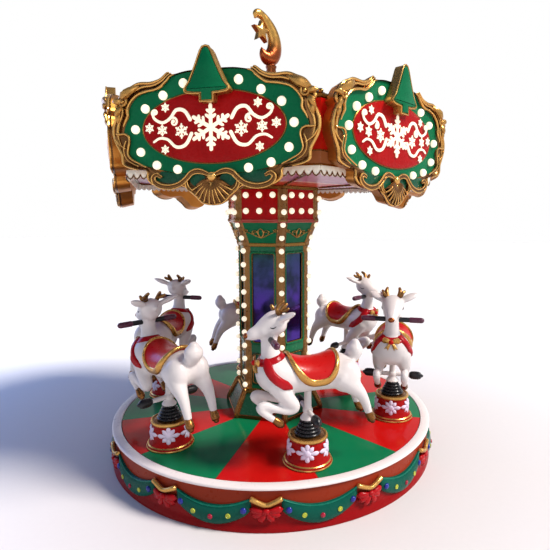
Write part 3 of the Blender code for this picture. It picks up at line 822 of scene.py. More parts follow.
def add_column():
    dress("deck", wedges("floor_wedges", (0.49, 0.006, 0.005), (0.003, 0.156, 0.058), (0.1, 0.05, 0.03)))
    dress("column_plinth", panel_green)
    dress("column_mirrors", mirror)
    dress("column_frame", green)
    paint = by_height(GREEN, (0.36, 0.003, 0.003), BAND_BOTTOM - 0.004, BAND_BOTTOM)
    dress("column_capital", moulded("capital_paint", paint, 0.2, gloss=0.08))
    dress("canopy_ceiling", moulded("ceiling_paint", ceiling_tone, 0.34, 0.0, 0.5))

    ridge = tube(mm((0, -368, 270), (0, -366, 292), (0, -330, 366), (0, -292, 440)),
                 [0.03, 0.031, 0.03, 0.029], 14, 0.72, up=(1.0, 0.0, 0.0))
    six_faces("plinth_ridge", [ridge], brown_gold, place=CORNER_PLACE)
    add_piece("plinth_foot_band", [box_ring(0.372, 0.386, DECK_TOP + 0.001, 0.29)], copper)
    add_piece("column_trims", [
        box_ring(0.29, 0.307, 0.432, 0.4515), box_ring(0.262, 0.281, 0.4515, 0.466),
        box_ring(0.268, 0.286, 1.526, 1.552), box_ring(0.34, 0.356, 1.93, 1.954)], gold)
    add_piece("capital_band_moulding", [
        box_ring(0.335, 0.358, 1.698, 1.708), box_ring(0.335, 0.355, 1.708, 1.72)], rose)

    six_faces("corner_strip", [strip()], strip_gold, place=CORNER_PLACE)
    spots = even_points(CORNER_LINE, BULB_STEP)[:-1] + np.array([0.0, BULB_STEP * 0.42])
    lamps = [lamp((0.0, -radius - 0.008, height), 0.02) for radius, height in spots]
    six_faces("corner_bulbs", lamps, bulb, place=CORNER_PLACE)

    face = -SHAFT_CORNER * SIDE_SHARE
    six_faces("mirror_moulding", [rounded_frame(*MIRROR, 0.022, face, 0.0085)], green)
    six_faces("mirror_bead", [rounded_frame(*inset(*MIRROR, 0.01), 0.016, face + 0.004, 0.0036)], gold)
    panel = plate(rectangle(*PANEL), face + 0.011, face + 0.005)
    raised = plate(rectangle(*inset(*PANEL, 0.03)), face + 0.006, face - 0.002, 0.01)
    six_faces("dado_panel", [panel, raised], panel_green)
    six_faces("dado_bead", [rounded_frame(*inset(*PANEL, 0.012), 0.016, face + 0.002, 0.0042)], gold)

    slope = (Matrix.Translation((0.0, -0.268, 1.622)) @ Matrix.Rotation(radians(19.6), 4, "X")
             @ Matrix.Diagonal((1.12, 1.0, 0.62, 1.0)))
    curls = [
        scroll(mm((0, -4, -52), (30, -6, -30), (62, -6, 0), (94, -6, 20)), 0.0056, 0.0036),
        volute((0.096, 0.038), 0.02, -90.0, 1.2, -0.006, 0.0038),
        volute((0.036, 0.022), 0.022, -60.0, 1.1, -0.006, 0.0036),
        scroll(mm((6, -6, -40), (18, -8, 0), (14, -6, 40), (0, -6, 62)), 0.0052, 0.003)]
    six_faces("capital_scroll", [turned_shape(s, slope) for s in both_sides(curls)], trim_gold)
    spots = [(x, -BAND_CORNER * SIDE_SHARE, z) for x in (-0.098, 0.0, 0.098) for z in (1.78, 1.89)]
    six_faces("capital_bulbs", [lamp(spot, BAND_BULB) for spot in spots], bulb)
    six_faces("capital_sockets", [socket(spot, BAND_BULB) for spot in spots], gold)


# The canopy: drum, fringe and roof.

SCALLOPS = 26
SCALLOP_STEPS = 8
FRINGE_DROP = 0.046
ROOF_SCALLOPS = 9


def fringe():
    rings = []
    count = SCALLOPS * SCALLOP_STEPS
    for i in range(count + 1):
        share = i / count
        wave = abs(sin(pi * share * SCALLOPS))
        low = -0.02 - (FRINGE_DROP - 0.02) * wave ** 0.55
        puff = -0.005 - 0.004 * wave
        ring = [(0.006, 0.012), (0.006, low), (-0.001, low - 0.002), (puff, low + 0.01), (puff, -0.01),
                (-0.006, 0.004), (-0.002, 0.012)]
        x = DRUM_CORNER * share - 0.5 * DRUM_CORNER
        rings.append([(x, DRUM_FACE + y, DRUM_BOTTOM + z) for y, z in ring])
    return rings_shape(rings)


def hem(x, step):
    """The dark lower edge of one scallop of the fringe."""
    rows = [(0.0, -0.005, -0.022), (0.2, -0.007, -0.039), (0.5, -0.008, -0.047), (0.8, -0.007, -0.039),
            (1.0, -0.005, -0.022)]
    return tube([(x + share * step, DRUM_FACE + y, DRUM_BOTTOM + z) for share, y, z in rows], 0.0036, 8)


def roof_scallop(x):
    drop = [(-0.052, 0.965, 2.388), (-0.026, 0.925, 2.399), (0.0, 0.91, 2.403), (0.026, 0.925, 2.399),
            (0.052, 0.965, 2.388)]
    return tube(smooth_line([(x + dx, DRUM_FACE * y, z) for dx, y, z in drop], 4), 0.006, 8)


def add_canopy():
    tone = by_height((0.26, 0.085, 0.03), RED, 2.086, 2.09)
    dress("canopy_drum", moulded("drum_paint", tone, 0.2, gloss=0.2))
    dress("canopy_roof", wedges("roof_paint", RED, RED, (0.36, 0.18, 0.04)))
    half = 0.5 * DRUM_CORNER
    step = DRUM_CORNER / SCALLOPS
    six_faces("fringe", [fringe()], cream)
    six_faces("fringe_hem", [hem(-half + step * i, step) for i in range(SCALLOPS)], brown_gold)
    add_piece("drum_mouldings", [
        box_ring(1.12, 1.149, 2.002, 2.02, 0.006), box_ring(1.13, 1.147, 2.082, 2.094, 0.005),
        box_ring(1.13, 1.15, 2.35, 2.378, 0.008)], gold)
    rib = tube(mm((0, -1140, 2384), (0, -620, 2508), (0, -112, 2624)), [0.014, 0.013, 0.01], 10)
    seams = [tube([(share * half, 0.99 * DRUM_FACE, 2.386), (share * half * 0.12, 0.12 * DRUM_FACE, 2.622)],
                  0.0045, 8) for share in (-0.5, 0.0, 0.5)]
    sides = [SIDE_TURN * k for k in range(STATIONS)]
    add_piece("roof_seams", [at_bearing(seam, side) for side in sides for seam in seams], dark_red)
    ribs = [at_bearing(rib, CORNER_TURN + side) for side in sides]
    add_piece("roof_ribs", [*ribs, box_ring(0.1, 0.128, 2.617, 2.63, 0.004)], gold)
    tips = [roof_scallop(-half * 0.9 + 1.8 * half * (i + 0.5) / ROOF_SCALLOPS) for i in range(ROOF_SCALLOPS)]
    six_faces("roof_scallops", tips, trim_gold)
    spoke = tube([(0.0, -0.362, 1.951), (0.0, -1.1, 1.998)], 0.006, 8)
    add_piece("ceiling_ribs", [at_bearing(spoke, CORNER_TURN + side) for side in sides], brown_gold)


# Signs.

SIGN_EDGE = mm((0, 294), (130, 291), (225, 276), (246, 290), (290, 257), (348, 242), (420, 244), (468, 226),
    (512, 205), (545, 162), (566, 126), (548, 98), (572, 55), (588, 5), (580, -52), (540, -131), (530, -188),
    (450, -215), (388, -226), (386, -270), (348, -304), (265, -323), (182, -309), (141, -332), (100, -362),
    (60, -400), (0, -413))
BOARD_EDGE = mm((0, 290), (130, 286), (222, 270), (250, 246), (302, 208), (372, 196), (428, 180), (468, 148),
    (492, 108), (490, 74), (512, 36), (527, -4), (527, -50), (503, -120), (486, -166), (430, -188),
    (350, -206), (240, -232), (110, -242), (0, -242))
OVAL = (0.405, 0.187)
RING_BULBS = mm((156, 229), (277, 173), (386, 109), (451, 2), (424, -120), (328, -193), (204, -218))
SIGN_BULB = 0.0245
FACE_DEPTH = 0.076          # from the back of a sign to its board
EDGE_DEPTH = 0.098          # from the back of a sign to its carved edge
TREE_DEPTH = 0.142          # from the back of a sign to the front of its tree
SIGN_FACE = -(SIGN_BACK + FACE_DEPTH)
SIGN_FRONT = -(SIGN_BACK + EDGE_DEPTH)
SIGN_PLACE = Matrix.Translation((0.0, 0.0, SIGN_CENTRE_HEIGHT))
FINE_THICKNESS = 0.0055     # a snowflake with strokes up to this gets simpler branches
SHELL_ROOT = -0.272


def on_signs(name, shapes, material, replaces="", smooth_angle=40.0):
    """One piece for each sign, its shapes about the centre of the sign."""
    six_faces(name, shapes, material, replaces, smooth_angle, SIGN_PLACE)


def half_loop(half, count):
    """A smooth, even closed loop from the right half of an outline, which starts and ends on X = 0."""
    right = even_points(smooth_line(half), count=count)
    left = right[-2:0:-1] * np.array([-1.0, 1.0])
    return np.concatenate([right, left])


def ellipse(half_width, half_height, x=0.0, z=0.0, count=72):
    return [(x + half_width * sin(a), z + half_height * cos(a)) for a in turns(count)]


def carved_edge(outer, inner):
    """The carved band between the outline and the board, hollow in the middle."""
    rows = [(0.0, 0.0), (0.02, 0.012), (0.14, 0.018), (0.3, 0.014), (0.5, 0.006), (0.7, 0.01), (0.86, 0.012),
            (1.0, 0.002)]
    return rings_shape([upright(outer + (inner - outer) * share, -(SIGN_BACK + FACE_DEPTH - 0.002 + lift))
                        for share, lift in rows], capped=False)


def edge_line(outer, inner, share, first, last, y, radius):
    """A gilt line along the carved edge of the right half, between the points nearest to first and last."""
    right = outer[:len(outer) // 2 + 1]
    start, stop = [int(np.argmin(np.hypot(*(right - np.array(p)).T))) for p in (first, last)]
    path = upright((outer + (inner - outer) * share)[start:stop + 1], y)
    return tube(path, eased(radius, len(path), 0.45, 8.0), 8)


def leaf(start, way, length, width, y, lift):
    """A pointed leaf that swells and curls, from a point towards an angle in the (x, z) plane."""
    angle = radians(way)
    along = Vector((cos(angle), 0.0, sin(angle)))
    points = [Vector((start[0], y - lift * sin(pi * s), start[1])) + along * (length * s)
              for s in (0.0, 0.2, 0.4, 0.6, 0.8, 1.0)]
    return tube(points, [width * w for w in (0.3, 0.44, 0.5, 0.42, 0.28, 0.08)], 8, 0.75)


def snowflake(centre, radius, y, thick):
    plain = thick <= FINE_THICKNESS

    def stroke(start, angle, length, half):
        end = (start[0] + length * cos(angle), start[1] + length * sin(angle))
        return tube(upright([start, end], y), half, 6 if plain else 8, 0.7)

    shapes = []
    for k in range(6):
        a = radians(90.0 + 60.0 * k)
        shapes.append(stroke(centre, a, radius, thick))
        for share, reach in ((0.55, 0.27),) if plain else ((0.42, 0.26), (0.68, 0.2)):
            root = (centre[0] + share * radius * cos(a), centre[1] + share * radius * sin(a))
            for side in (-1.0, 1.0):
                shapes.append(stroke(root, a + side * radians(56.0), reach * radius, 0.8 * thick))
    return join_shapes(shapes)


def flourish(y):
    """White strokes on the right half of a board: two long waves with curls, and small flakes."""
    upper = mm((118, 40), (150, 86), (198, 92), (236, 50), (282, 30), (326, 50), (340, 78))
    lower = mm((112, -34), (148, -90), (204, -100), (252, -60), (300, -52), (336, -70))
    flakes = mm((170, -18, 36, 5.2), (284, -10, 28, 4.6), (262, 108, 22, 4), (270, -112, 22, 4),
                (360, 4, 24, 4.2))
    return [
        scroll(upright(upper, y), 0.0105, 0.007, flat=0.7),
        volute((0.322, 0.082), 0.02, -20.0, 0.9, y, 0.0066),
        scroll(upright(lower, y), 0.0105, 0.006, flat=0.7),
        volute((0.214, 0.03), 0.024, 80.0, 1.0, y, 0.0066),
        *[snowflake((x, z), radius, y, thick) for x, z, radius, thick in flakes]]


def add_board():
    """The body of a sign with its carved edge, board, oval, bulbs and white strokes."""
    outer, inner = half_loop(SIGN_EDGE, 150), half_loop(BOARD_EDGE, 150)
    back = plate([tuple(p) for p in outer], -SIGN_BACK, SIGN_FACE, 0.0, 0.0, 0.955)
    on_signs("sign_back", [back], side_gold, "sign")
    on_signs("sign_edge", [carved_edge(outer, inner)], dark_gold, smooth_angle=60.0)
    top, foot, dip = (0.246, 0.29), (0.0, -0.413), (0.141, -0.332)
    lines = [edge_line(outer, inner, share, first, last, SIGN_FRONT + depth, radius)
             for share, first, last, depth, radius in (
                 (0.05, top, (0.45, -0.215), 0.007, 0.0086), (0.45, top, (0.56, -0.09), 0.006, 0.007),
                 (0.95, top, (0.588, 0.005), 0.005, 0.0076), (0.07, (0.388, -0.226), dip, 0.01, 0.007),
                 (0.02, dip, foot, 0.01, 0.006))]
    on_signs("sign_edge_lines", both_sides(lines), bright_gold)
    board = plate([tuple(p) for p in half_loop(BOARD_EDGE, 60)], SIGN_FACE + 0.004, SIGN_FACE - 0.003)
    on_signs("sign_board", [board], sign_green)
    oval = plate(ellipse(*OVAL), SIGN_FACE, SIGN_FACE - 0.01, 0.003, 0.008)
    on_signs("sign_oval", [oval], sign_red)
    hairline = flat_tube(ellipse(OVAL[0] + 0.003, OVAL[1] + 0.003), SIGN_FACE - 0.004, 0.0046)
    on_signs("sign_hairline", [hairline], gold)
    lamps = [lamp((sign * x, SIGN_FACE - 0.003, z), SIGN_BULB) for x, z in RING_BULBS for sign in (-1.0, 1.0)]
    on_signs("sign_bulbs", lamps, bulb)
    y = SIGN_FACE - 0.02
    strokes = [*both_sides(flourish(y)), snowflake((0.0, -0.006), 0.112, y - 0.001, 0.0105)]
    # These strokes glow with painted light.
    on_signs("sign_strokes", strokes, glowing_stroke_white)


def grooved(rows, half, y):
    """A filled band along (x, z) rows, and the raised line along each of its edges."""
    path = [Vector(p) for p in upright(smooth_line(rows, 5), y)]
    sizes = eased(half, len(path), 0.55, 5.0)
    lines = []
    for way in (-1.0, 1.0):
        line = []
        for i, point in enumerate(path):
            along = heading(path, i)
            line.append(point + Vector((-along.z, 0.0, along.x)) * (way * 0.86 * sizes[i])
                        + Vector((0.0, -0.006, 0.0)))
        lines.append(tube(line, [0.34 * size for size in sizes], 8))
    return tube(path, sizes, 10, 0.75), lines


def add_carving():
    """Scrolls, leaves and the shell on the edge of a sign."""
    y = SIGN_FRONT + 0.004
    hump = mm((562, -12), (540, -20), (516, -22), (494, -34), (487, -60), (494, -92), (500, -124),
        (486, -150), (455, -168), (470, -186), (520, -170), (545, -100))
    on_signs("sign_humps", both_sides([plate(hump, SIGN_FACE, y + 0.004, 0.006)]), dark_gold)
    band = mm((-4, -258), (30, -244), (58, -234), (88, -231), (118, -241), (143, -265), (186, -297),
        (246, -313), (300, -307), (336, -288), (347, -262), (326, -246), (300, -258))
    curl = mm((146, -262), (150, -290), (140, -318), (118, -336))
    fillers, edges = [], []
    for rows, half in ((band, 0.013), (curl, 0.0085)):
        filler, lines = grooved(rows, half, y)
        fillers.append(filler)
        edges += lines
    on_signs("sign_scrolls", both_sides(fillers), dark_gold)
    flames = [leaf(start, way, length, width, y - back, lift) for start, way, length, width, back, lift in (
        ((0.53, 0.168), 152.0, 0.128, 0.05, 0.002, 0.016), ((0.52, 0.15), 2.0, 0.06, 0.036, 0.004, 0.014),
        ((0.528, 0.128), -58.0, 0.074, 0.034, 0.002, 0.012), ((0.552, 0.04), 100.0, 0.056, 0.026, 0.0, 0.01))]
    on_signs("sign_leaves", both_sides(flames), trim_gold)
    curls = [volute((0.516, 0.148), 0.026, 150.0, 1.1, y - 0.012, 0.0074),
             volute((0.508, 0.186), 0.016, 30.0, 1.0, y - 0.012, 0.0052)]
    on_signs("sign_corner_curls", both_sides(curls), trim_gold)
    flank = mm((562, -20), (540, -22), (514, -21), (492, -34), (486, -60), (494, -92), (500, -126),
        (482, -154), (440, -178), (390, -202))
    inner = mm((506, -6, -60), (516, -8, -84), (521, -8, -110), (514, -6, -144), (490, -4, -170),
        (440, -2, -196))
    short = mm((574, -4, -40), (552, -6, -72), (524, -7, -92), (514, -6, -100))
    edges.append(scroll(upright(flank, y - 0.004), 0.0062, 0.004))
    for rows, start in ((inner, 0.0036), (short, 0.0056)):
        edges.append(scroll(moved(rows, 0.0, y, 0.0), start, 0.003))
    on_signs("sign_scroll_lines", both_sides(edges), bright_gold)
    field = mm((122, -258), (190, -296), (250, -306), (306, -300), (334, -274), (336, -252), (300, -226),
        (220, -236), (150, -244))
    eye = ellipse(0.046, 0.036, 0.086, -0.276, 24)
    fields = [plate(eye, SIGN_FACE, SIGN_FRONT + 0.011), plate(field, SIGN_FACE, SIGN_FRONT + 0.011, 0.004)]
    on_signs("sign_scroll_fields", both_sides(fields), panel_green)
    angles = [11.0 * k for k in range(-5, 6)]
    fan = [leaf((0.0, SHELL_ROOT), -90.0 + 1.25 * a, 0.14 - 0.0006 * abs(a), 0.03, y + 0.004, 0.016)
           for a in angles]
    on_signs("sign_shell", fan, brown_gold)
    ribs = []
    for a in angles[:-1]:
        way = radians(-90.0 + 1.25 * (a + 5.5))
        rib = [(reach * cos(way), y - 0.006 - 0.012 * sin(pi * reach / 0.14),
                SHELL_ROOT + reach * sin(way)) for reach in (0.02, 0.06, 0.1, 0.13)]
        ribs.append(scroll(rib, 0.0024, 0.0034))
    boss = ball((0.0, y - 0.006, -0.262), 0.026, 20, 12, (1.0, 0.7, 1.0))
    on_signs("sign_shell_ribs", [*ribs, boss], bright_gold)


def add_tree():
    tree = mm((0, 390), (18, 385), (31, 366), (64, 288), (98, 216), (124, 184), (124, 172), (110, 163),
        (70, 158), (37, 156), (37, 116), (0, 116))
    slim = mm((0, 382), (13, 378), (24, 360), (56, 284), (90, 214), (114, 184), (113, 177), (104, 171),
        (68, 166), (29, 164), (29, 124), (0, 124))
    front = -(SIGN_BACK + TREE_DEPTH)
    outer, inner = [[*rows, *[(-x, z) for x, z in rows[-2:0:-1]]] for rows in (tree, slim)]
    on_signs("tree_case", [plate(outer, -(SIGN_BACK + 0.086), front, 0.005)], trim_gold)
    on_signs("tree_face", [plate(inner, front + 0.004, front - 0.01, 0.009)], sign_green)
    on_signs("tree_line", [flat_tube(outer, front - 0.002, 0.0048)], bright_gold)


# Finial.

MOON_TURN = 60.0
# Rows of x, height and half width.
MOON_LINE = mm((-150, 3132, 12), (-143, 3150, 26), (-118, 3162, 31), (-82, 3154, 31), (-45, 3128, 38),
    (0, 3080, 47), (30, 3018, 54), (34, 2955, 60), (10, 2902, 62), (-34, 2882, 54), (-68, 2896, 42),
    (-86, 2922, 22), (-90, 2936, 8))
STAR_CENTRE = (-0.098, 3.045)
STAR_RADII = (0.08, 0.034)
STAR_TILT = 0.3


def add_finial():
    turn = Matrix.Rotation(radians(MOON_TURN), 4, "Z")
    neck = lathe(mm((0, 2620), (104, 2621), (106, 2632), (92, 2640), (74, 2662), (56, 2706), (42, 2760),
        (34, 2810), (40, 2820), (40, 2830), (30, 2838), (28, 2868), (0, 2870)), 40)
    add_piece("finial_neck", [neck], copper, replaces="finial")
    body = limb([(x, 0.0, z, half) for x, z, half in MOON_LINE], 6, 24, 0.72)
    tone = by_height((0.3, 0.065, 0.014), (0.56, 0.31, 0.07), 2.93, 3.04)
    add_piece("finial_moon", [body], moulded("moon_paint", tone, 0.26, 0.0, 0.5, 0.8), place=turn)
    star = [(radius * cos(a + STAR_TILT), radius * sin(a + STAR_TILT))
            for a, radius in zip(turns(10), STAR_RADII * 5)]
    star = plate(moved(star, *STAR_CENTRE), 0.0, -0.02, 0.004, 0.008)
    add_piece("finial_star", across(star), trim_gold, place=turn)


# The rides. Each is built facing +X, with its post on the Z axis.

# Rows of x, centre height, half height and half width.
BODY_LINE = mm((-290, 816, 20, 24), (-276, 815, 56, 64), (-245, 814, 90, 102), (-190, 816, 106, 126),
    (-100, 812, 101, 122), (0, 808, 97, 118), (100, 812, 105, 121), (190, 826, 119, 126),
    (262, 840, 104, 110), (302, 846, 68, 72), (316, 848, 26, 30))
# Rows of x, y, height and radius, from here to the antlers.
NECK_LINE = mm((160, 0, 826, 108), (196, 0, 874, 92), (222, 0, 930, 63), (235, 0, 990, 48),
    (234, 0, 1050, 48), (214, 0, 1116, 54))
HEAD_LINE = mm((130, 0, 1148, 20), (142, 0, 1148, 48), (170, 0, 1142, 67), (208, 0, 1129, 73),
    (254, 0, 1108, 60), (300, 0, 1085, 43), (340, 0, 1070, 34), (362, 0, 1063, 21))
TAIL_LINE = mm((-200, 0, 850, 36), (-248, 0, 866, 33), (-280, 0, 896, 43), (-296, 0, 930, 52),
    (-300, 0, 956, 46), (-302, 0, 974, 30))
FRONT_LEG = mm((214, 62, 806, 73), (160, 85, 718, 50), (108, 91, 655, 34), (137, 92, 633, 27.5),
    (215, 92, 652, 25), (286, 92, 679, 26.2), (309, 92, 661, 26.2), (266, 92, 615, 21.8), (222, 92, 583, 19))
REAR_LEG = mm((-185, 62, 800, 86), (-250, 84, 742, 57), (-304, 90, 686, 38), (-336, 90, 628, 29),
    (-360, 90, 562, 23.5))
EAR_LINE = mm((196, 40, 1150, 20), (178, 66, 1166, 28), (160, 98, 1183, 38), (142, 132, 1199, 34),
    (130, 156, 1210, 18))
HOOVES = [
    mm((228, 92, 587, 20.5), (217, 92, 578, 23.5), (203, 92, 566, 25.5), (190, 92, 555, 24),
        (185, 92, 550, 17.5)),
    mm((-357, 90, 566, 22.5), (-363, 90, 552, 24), (-372, 90, 534, 26.5), (-381, 90, 517, 25.5),
        (-385, 90, 510, 18.5))]
PRONGS = [
    mm((192, 30, 1172, 14.5), (178, 40, 1200, 14.5), (164, 46, 1226, 13.8), (142, 42, 1244, 10.5)),
    mm((184, 38, 1186, 12), (196, 56, 1202, 13), (204, 64, 1220, 10.5)),
    mm((172, 43, 1208, 11.5), (154, 62, 1214, 12.2), (142, 74, 1224, 9.8))]
VOXEL = 0.0088
SOFTENING = 5
SADDLE_CENTRE = -0.018
SADDLE_HALF = 0.147
SADDLE_REACH = 99.0         # degrees from the back to the lower edge of the saddle
BOW_HEIGHT = 0.905
HANDLE = (0.235, 1.045)     # x and height of the handlebar
GRIP_START = 0.12           # from the middle of the ride to the inner end of a grip or pedal
GRIP_LENGTH = 0.074
GRIP_STEPS = 24
PEDAL_LENGTH = 0.09
PEDAL_STEPS = 18
RIB_STEP = 3                # a rib on every third ring of a grip or pedal
BELLOWS_FOLDS = 5
FLOWERS = 5


def barrel():
    rings = []
    for x, centre, high, wide in smooth_line(BODY_LINE, 4):
        rings.append([(x, max(wide, 0.004) * cos(a), centre + max(high, 0.004) * sin(a))
                      for a in turns(48)])
    return rings_shape(rings)


def animal_shapes():
    shapes = [barrel(), limb(NECK_LINE, 5, 20), limb(HEAD_LINE, 5, 20, 1.04), limb(TAIL_LINE, 5, 20, 1.2)]
    shapes += across(limb(FRONT_LEG, 6, 18)) + across(limb(REAR_LEG, 6, 18))
    shapes += across(limb(EAR_LINE, 6, 18, 0.5, (0.42, -0.3, 0.86)))
    for side in (-1.0, 1.0):
        shapes.append(ball((0.262, side * 0.03, 1.094), 0.04, 20, 12, (1.1, 0.8, 0.8)))
        shapes.append(ball((-0.215, side * 0.07, 0.8), 0.096, 20, 12, (1.0, 0.75, 1.05)))
    return shapes


def remeshed(name, shapes):
    """One smooth skin over several overlapping shapes."""
    item = new_object("raw", raw_mesh("raw", shapes))
    skin = item.modifiers.new("skin", "REMESH")
    skin.mode = "VOXEL"
    skin.voxel_size = VOXEL
    soften = item.modifiers.new("soften", "SMOOTH")
    soften.factor = 0.5
    soften.iterations = SOFTENING
    bpy.context.view_layer.update()
    graph = bpy.context.evaluated_depsgraph_get()
    mesh = bpy.data.meshes.new_from_object(item.evaluated_get(graph))
    mesh.name = name
    bpy.data.objects.remove(item)
    mesh.shade_smooth()
    return mesh


def hit(tree, start, way):
    """Where a line from outside meets the animal."""
    return tree.ray_cast(Vector(start), Vector(way).normalized(), 2.0)[:2]


def swell(thick, share):
    """Height of a rounded strap at a share of its half width."""
    return thick * sqrt(max(0.0, 1.0 - abs(share) ** 3))


def flank_strap(tree, line, width, thick):
    """A strap that lies on the +Y flank along an (x, z) line, rounded over."""
    rows = [Vector(p) for p in upright(smooth_line(line, 5), 0.0)]
    last = len(rows) - 1
    rings = []
    for i, row in enumerate(rows):
        along = heading(rows, i)
        side = Vector((along.z, 0.0, -along.x))
        end = min(1.0, 0.34 + 4.4 * min(i, last - i) / last)
        upper, lower = [], []
        for share in (k / 4 for k in range(-4, 5)):
            spot = row + side * (0.5 * width * end * share)
            met, normal = hit(tree, (spot.x, 0.4, spot.z), (0.0, -1.0, 0.0))
            if met is None:
                met, normal = Vector((spot.x, 0.05, spot.z)), Vector((0.0, 1.0, 0.0))
            upper.append(met + normal * swell(thick, share))
            lower.append(met - Vector((0.0, 0.006, 0.0)))
        rings.append([*upper, *reversed(lower)])
    return rings_shape(rings)


def collar(tree, centre, lean, width, thick):
    """A band round the neck about a point, its plane leaning forward by an angle."""
    tilt = Matrix.Rotation(radians(lean), 3, "Y")
    over = tilt @ Vector((0.0, 0.0, 1.0))
    rings = []
    for a in turns(56):
        out = tilt @ Vector((cos(a), sin(a), 0.0))
        upper, lower = [], []
        for share in (k / 3 for k in range(-3, 4)):
            start = Vector(centre) + over * (0.5 * width * share)
            met, _ = hit(tree, start + out * 0.3, -out)
            reach = (met - start).length if met is not None else 0.07
            upper.append(start + out * (reach + swell(thick, share)))
            lower.append(start + out * (reach - 0.004))
        rings.append([*upper, *reversed(lower)])
    return rings_shape(rings, closed=True)


def saddle_spot(tree, u, v, lift):
    """A point of the saddle: u along the back and v round it, both -1 to 1, at a height above the animal."""
    angle = radians(SADDLE_REACH * v)
    x = SADDLE_CENTRE - 0.014 * v * v + SADDLE_HALF * u * (1.0 - 0.24 * abs(v) ** 2.2)
    rows = np.array(BODY_LINE)
    centre = Vector((x, 0.0, float(np.interp(x, rows[:, 0], rows[:, 1]))))
    out = Vector((0.0, sin(angle), cos(angle)))
    met, _ = hit(tree, centre + out * 0.4, -out)
    reach = (met - centre).length if met is not None else 0.12
    raised = 0.012 * max(0.0, cos(angle)) ** 2 * max(0.0, abs(u) - 0.45) / 0.55
    return centre + out * (reach + lift + raised)


def saddle_loop(tree, scale, lift, count=112):
    ring = []
    for a in turns(count):
        u = copysign(abs(cos(a)) ** 0.62, cos(a))
        v = copysign(abs(sin(a)) ** 0.74, sin(a))
        ring.append(saddle_spot(tree, scale * u, scale * v, lift))
    return ring


def saddle_border(tree):
    """The gilt roll round the saddle, wider low on the flanks."""
    border = saddle_loop(tree, 0.985, 0.01, 128)
    centre = Vector((SADDLE_CENTRE, 0.0, 0.806))
    rings = []
    for k, point in enumerate(border):
        along = heading(border, k, True)
        out = point - centre
        out = (out - along * out.dot(along)).normalized()
        side = along.cross(out)
        wide = 0.012 + 0.0105 * min(1.0, max(0.0, (0.93 - point.z) / 0.09))
        rings.append([point + side * (wide * cos(a)) + out * (0.0115 * sin(a)) for a in turns(12)])
    return rings_shape(rings, closed=True)


def flower():
    """An eight-lobed flower in the (x, z) plane at y = 0, about its own centre."""
    shapes = [ball((0.0, -0.002, 0.0), 0.02, 16, 8, (1.1, 0.45, 1.0))]
    rows = [(0.0, 0.0), (0.4, -0.001), (0.7, -0.002), (0.88, -0.001), (1.0, 0.0)]
    for a, reach in zip(turns(8), (0.066, 0.047, 0.053, 0.047) * 2):
        line = [(share * reach * cos(a), y, share * reach * sin(a)) for share, y in rows]
        shapes.append(tube(line, [0.007, 0.0085, 0.014, 0.013, 0.008], 10, 0.42))
    return join_shapes(shapes)


def wrapped(shape, radius, height, lean):
    """Bends a shape built in the (x, z) plane round an upright post."""
    points, faces = shape
    return [round_point(radius - y - lean * z, x / radius, z + height) for x, y, z in points], faces


def add_animal():
    """The skin, hooves, antlers, nose and eyes. Returns the skin for what lies on it."""
    skin = remeshed("reindeer_skin", animal_shapes())
    skin.materials.clear()
    skin.materials.append(white)
    faces = [tuple(face.vertices) for face in skin.polygons]
    tree = BVHTree.FromPolygons([point.co.copy() for point in skin.vertices], faces)
    add_six("reindeer_skin", skin, "ride_{}", ride_place, "reindeer")
    six_rides("hooves", [shape for rows in HOOVES for shape in across(limb(rows, 4, 14))], brown_gold)
    six_rides("antlers", [shape for rows in PRONGS for shape in across(limb(rows, 5, 12))], strip_gold)
    six_rides("nose", [ball((0.371, 0.0, 1.067), 0.0195, 22, 14, (0.8, 1.12, 0.86))], copper)
    eyes = []
    for way in (-1.0, 1.0):
        points = []
        for share in (i / 8 for i in range(9)):
            z = 1.126 - 0.005 * share - 0.007 * sin(pi * share)
            met, normal = hit(tree, (0.21 + 0.032 * share, way * 0.3, z), (0.0, -way, 0.0))
            points.append(met + normal * 0.0008)
        eyes.append(tube(points, [0.0014, 0.0022, 0.0028, 0.0031, 0.0032, 0.0031, 0.0028, 0.0022, 0.0014], 8))
    six_rides("eyes", eyes, black)
    return tree


def add_harness(tree):
    line = mm((254, 936), (262, 904), (250, 866), (220, 832), (178, 802), (130, 776))
    strap = flank_strap(tree, line, 0.054, 0.013)
    six_rides("harness", [collar(tree, (0.221, 0.0, 0.93), 14.0, 0.032, 0.008), *across(strap)], dark_red)
    met, _ = hit(tree, (0.6, 0.0, BOW_HEIGHT), (-1.0, 0.0, 0.0))
    x = met.x + 0.012
    loop = mm((4, 9), (22, 22), (46, 29), (58, 20), (60, 2), (52, -12), (28, -10), (4, -8))
    tail = mm((2, -2), (18, -8), (46, -48), (29, -44), (20, -58), (6, -26))
    parts = []
    for way in (-1.0, 1.0):
        for outline, lean in ((loop, 14.0), (tail, 8.0)):
            flat = plate([(way * y, z) for y, z in outline], 0.004, -0.006, 0.004, 0.006)
            facing = Matrix.Rotation(radians(90.0 + way * lean), 4, "Z")
            parts.append(turned_shape(flat, Matrix.Translation((x + 0.004, 0.0, BOW_HEIGHT)) @ facing))
    six_rides("chest_bow", parts, trim_gold)
    six_rides("chest_knot", [ball((x + 0.01, 0.0, 0.906), 0.017, 18, 10, (0.8, 1.0, 0.95))], red)


def add_saddle():
    tree = BVHTree.FromPolygons(*barrel())
    pad = rings_shape([saddle_loop(tree, scale, lift) for scale, lift in (
        (1.0, -0.004), (1.0, 0.008), (0.95, 0.013), (0.86, 0.015), (0.72, 0.015), (0.56, 0.014), (0.4, 0.013),
        (0.24, 0.013), (0.1, 0.013), (0.02, 0.013))])
    six_rides("saddle_pad", [pad], saddle_red, "saddle")
    six_rides("saddle_border", [saddle_border(tree)], trim_gold)


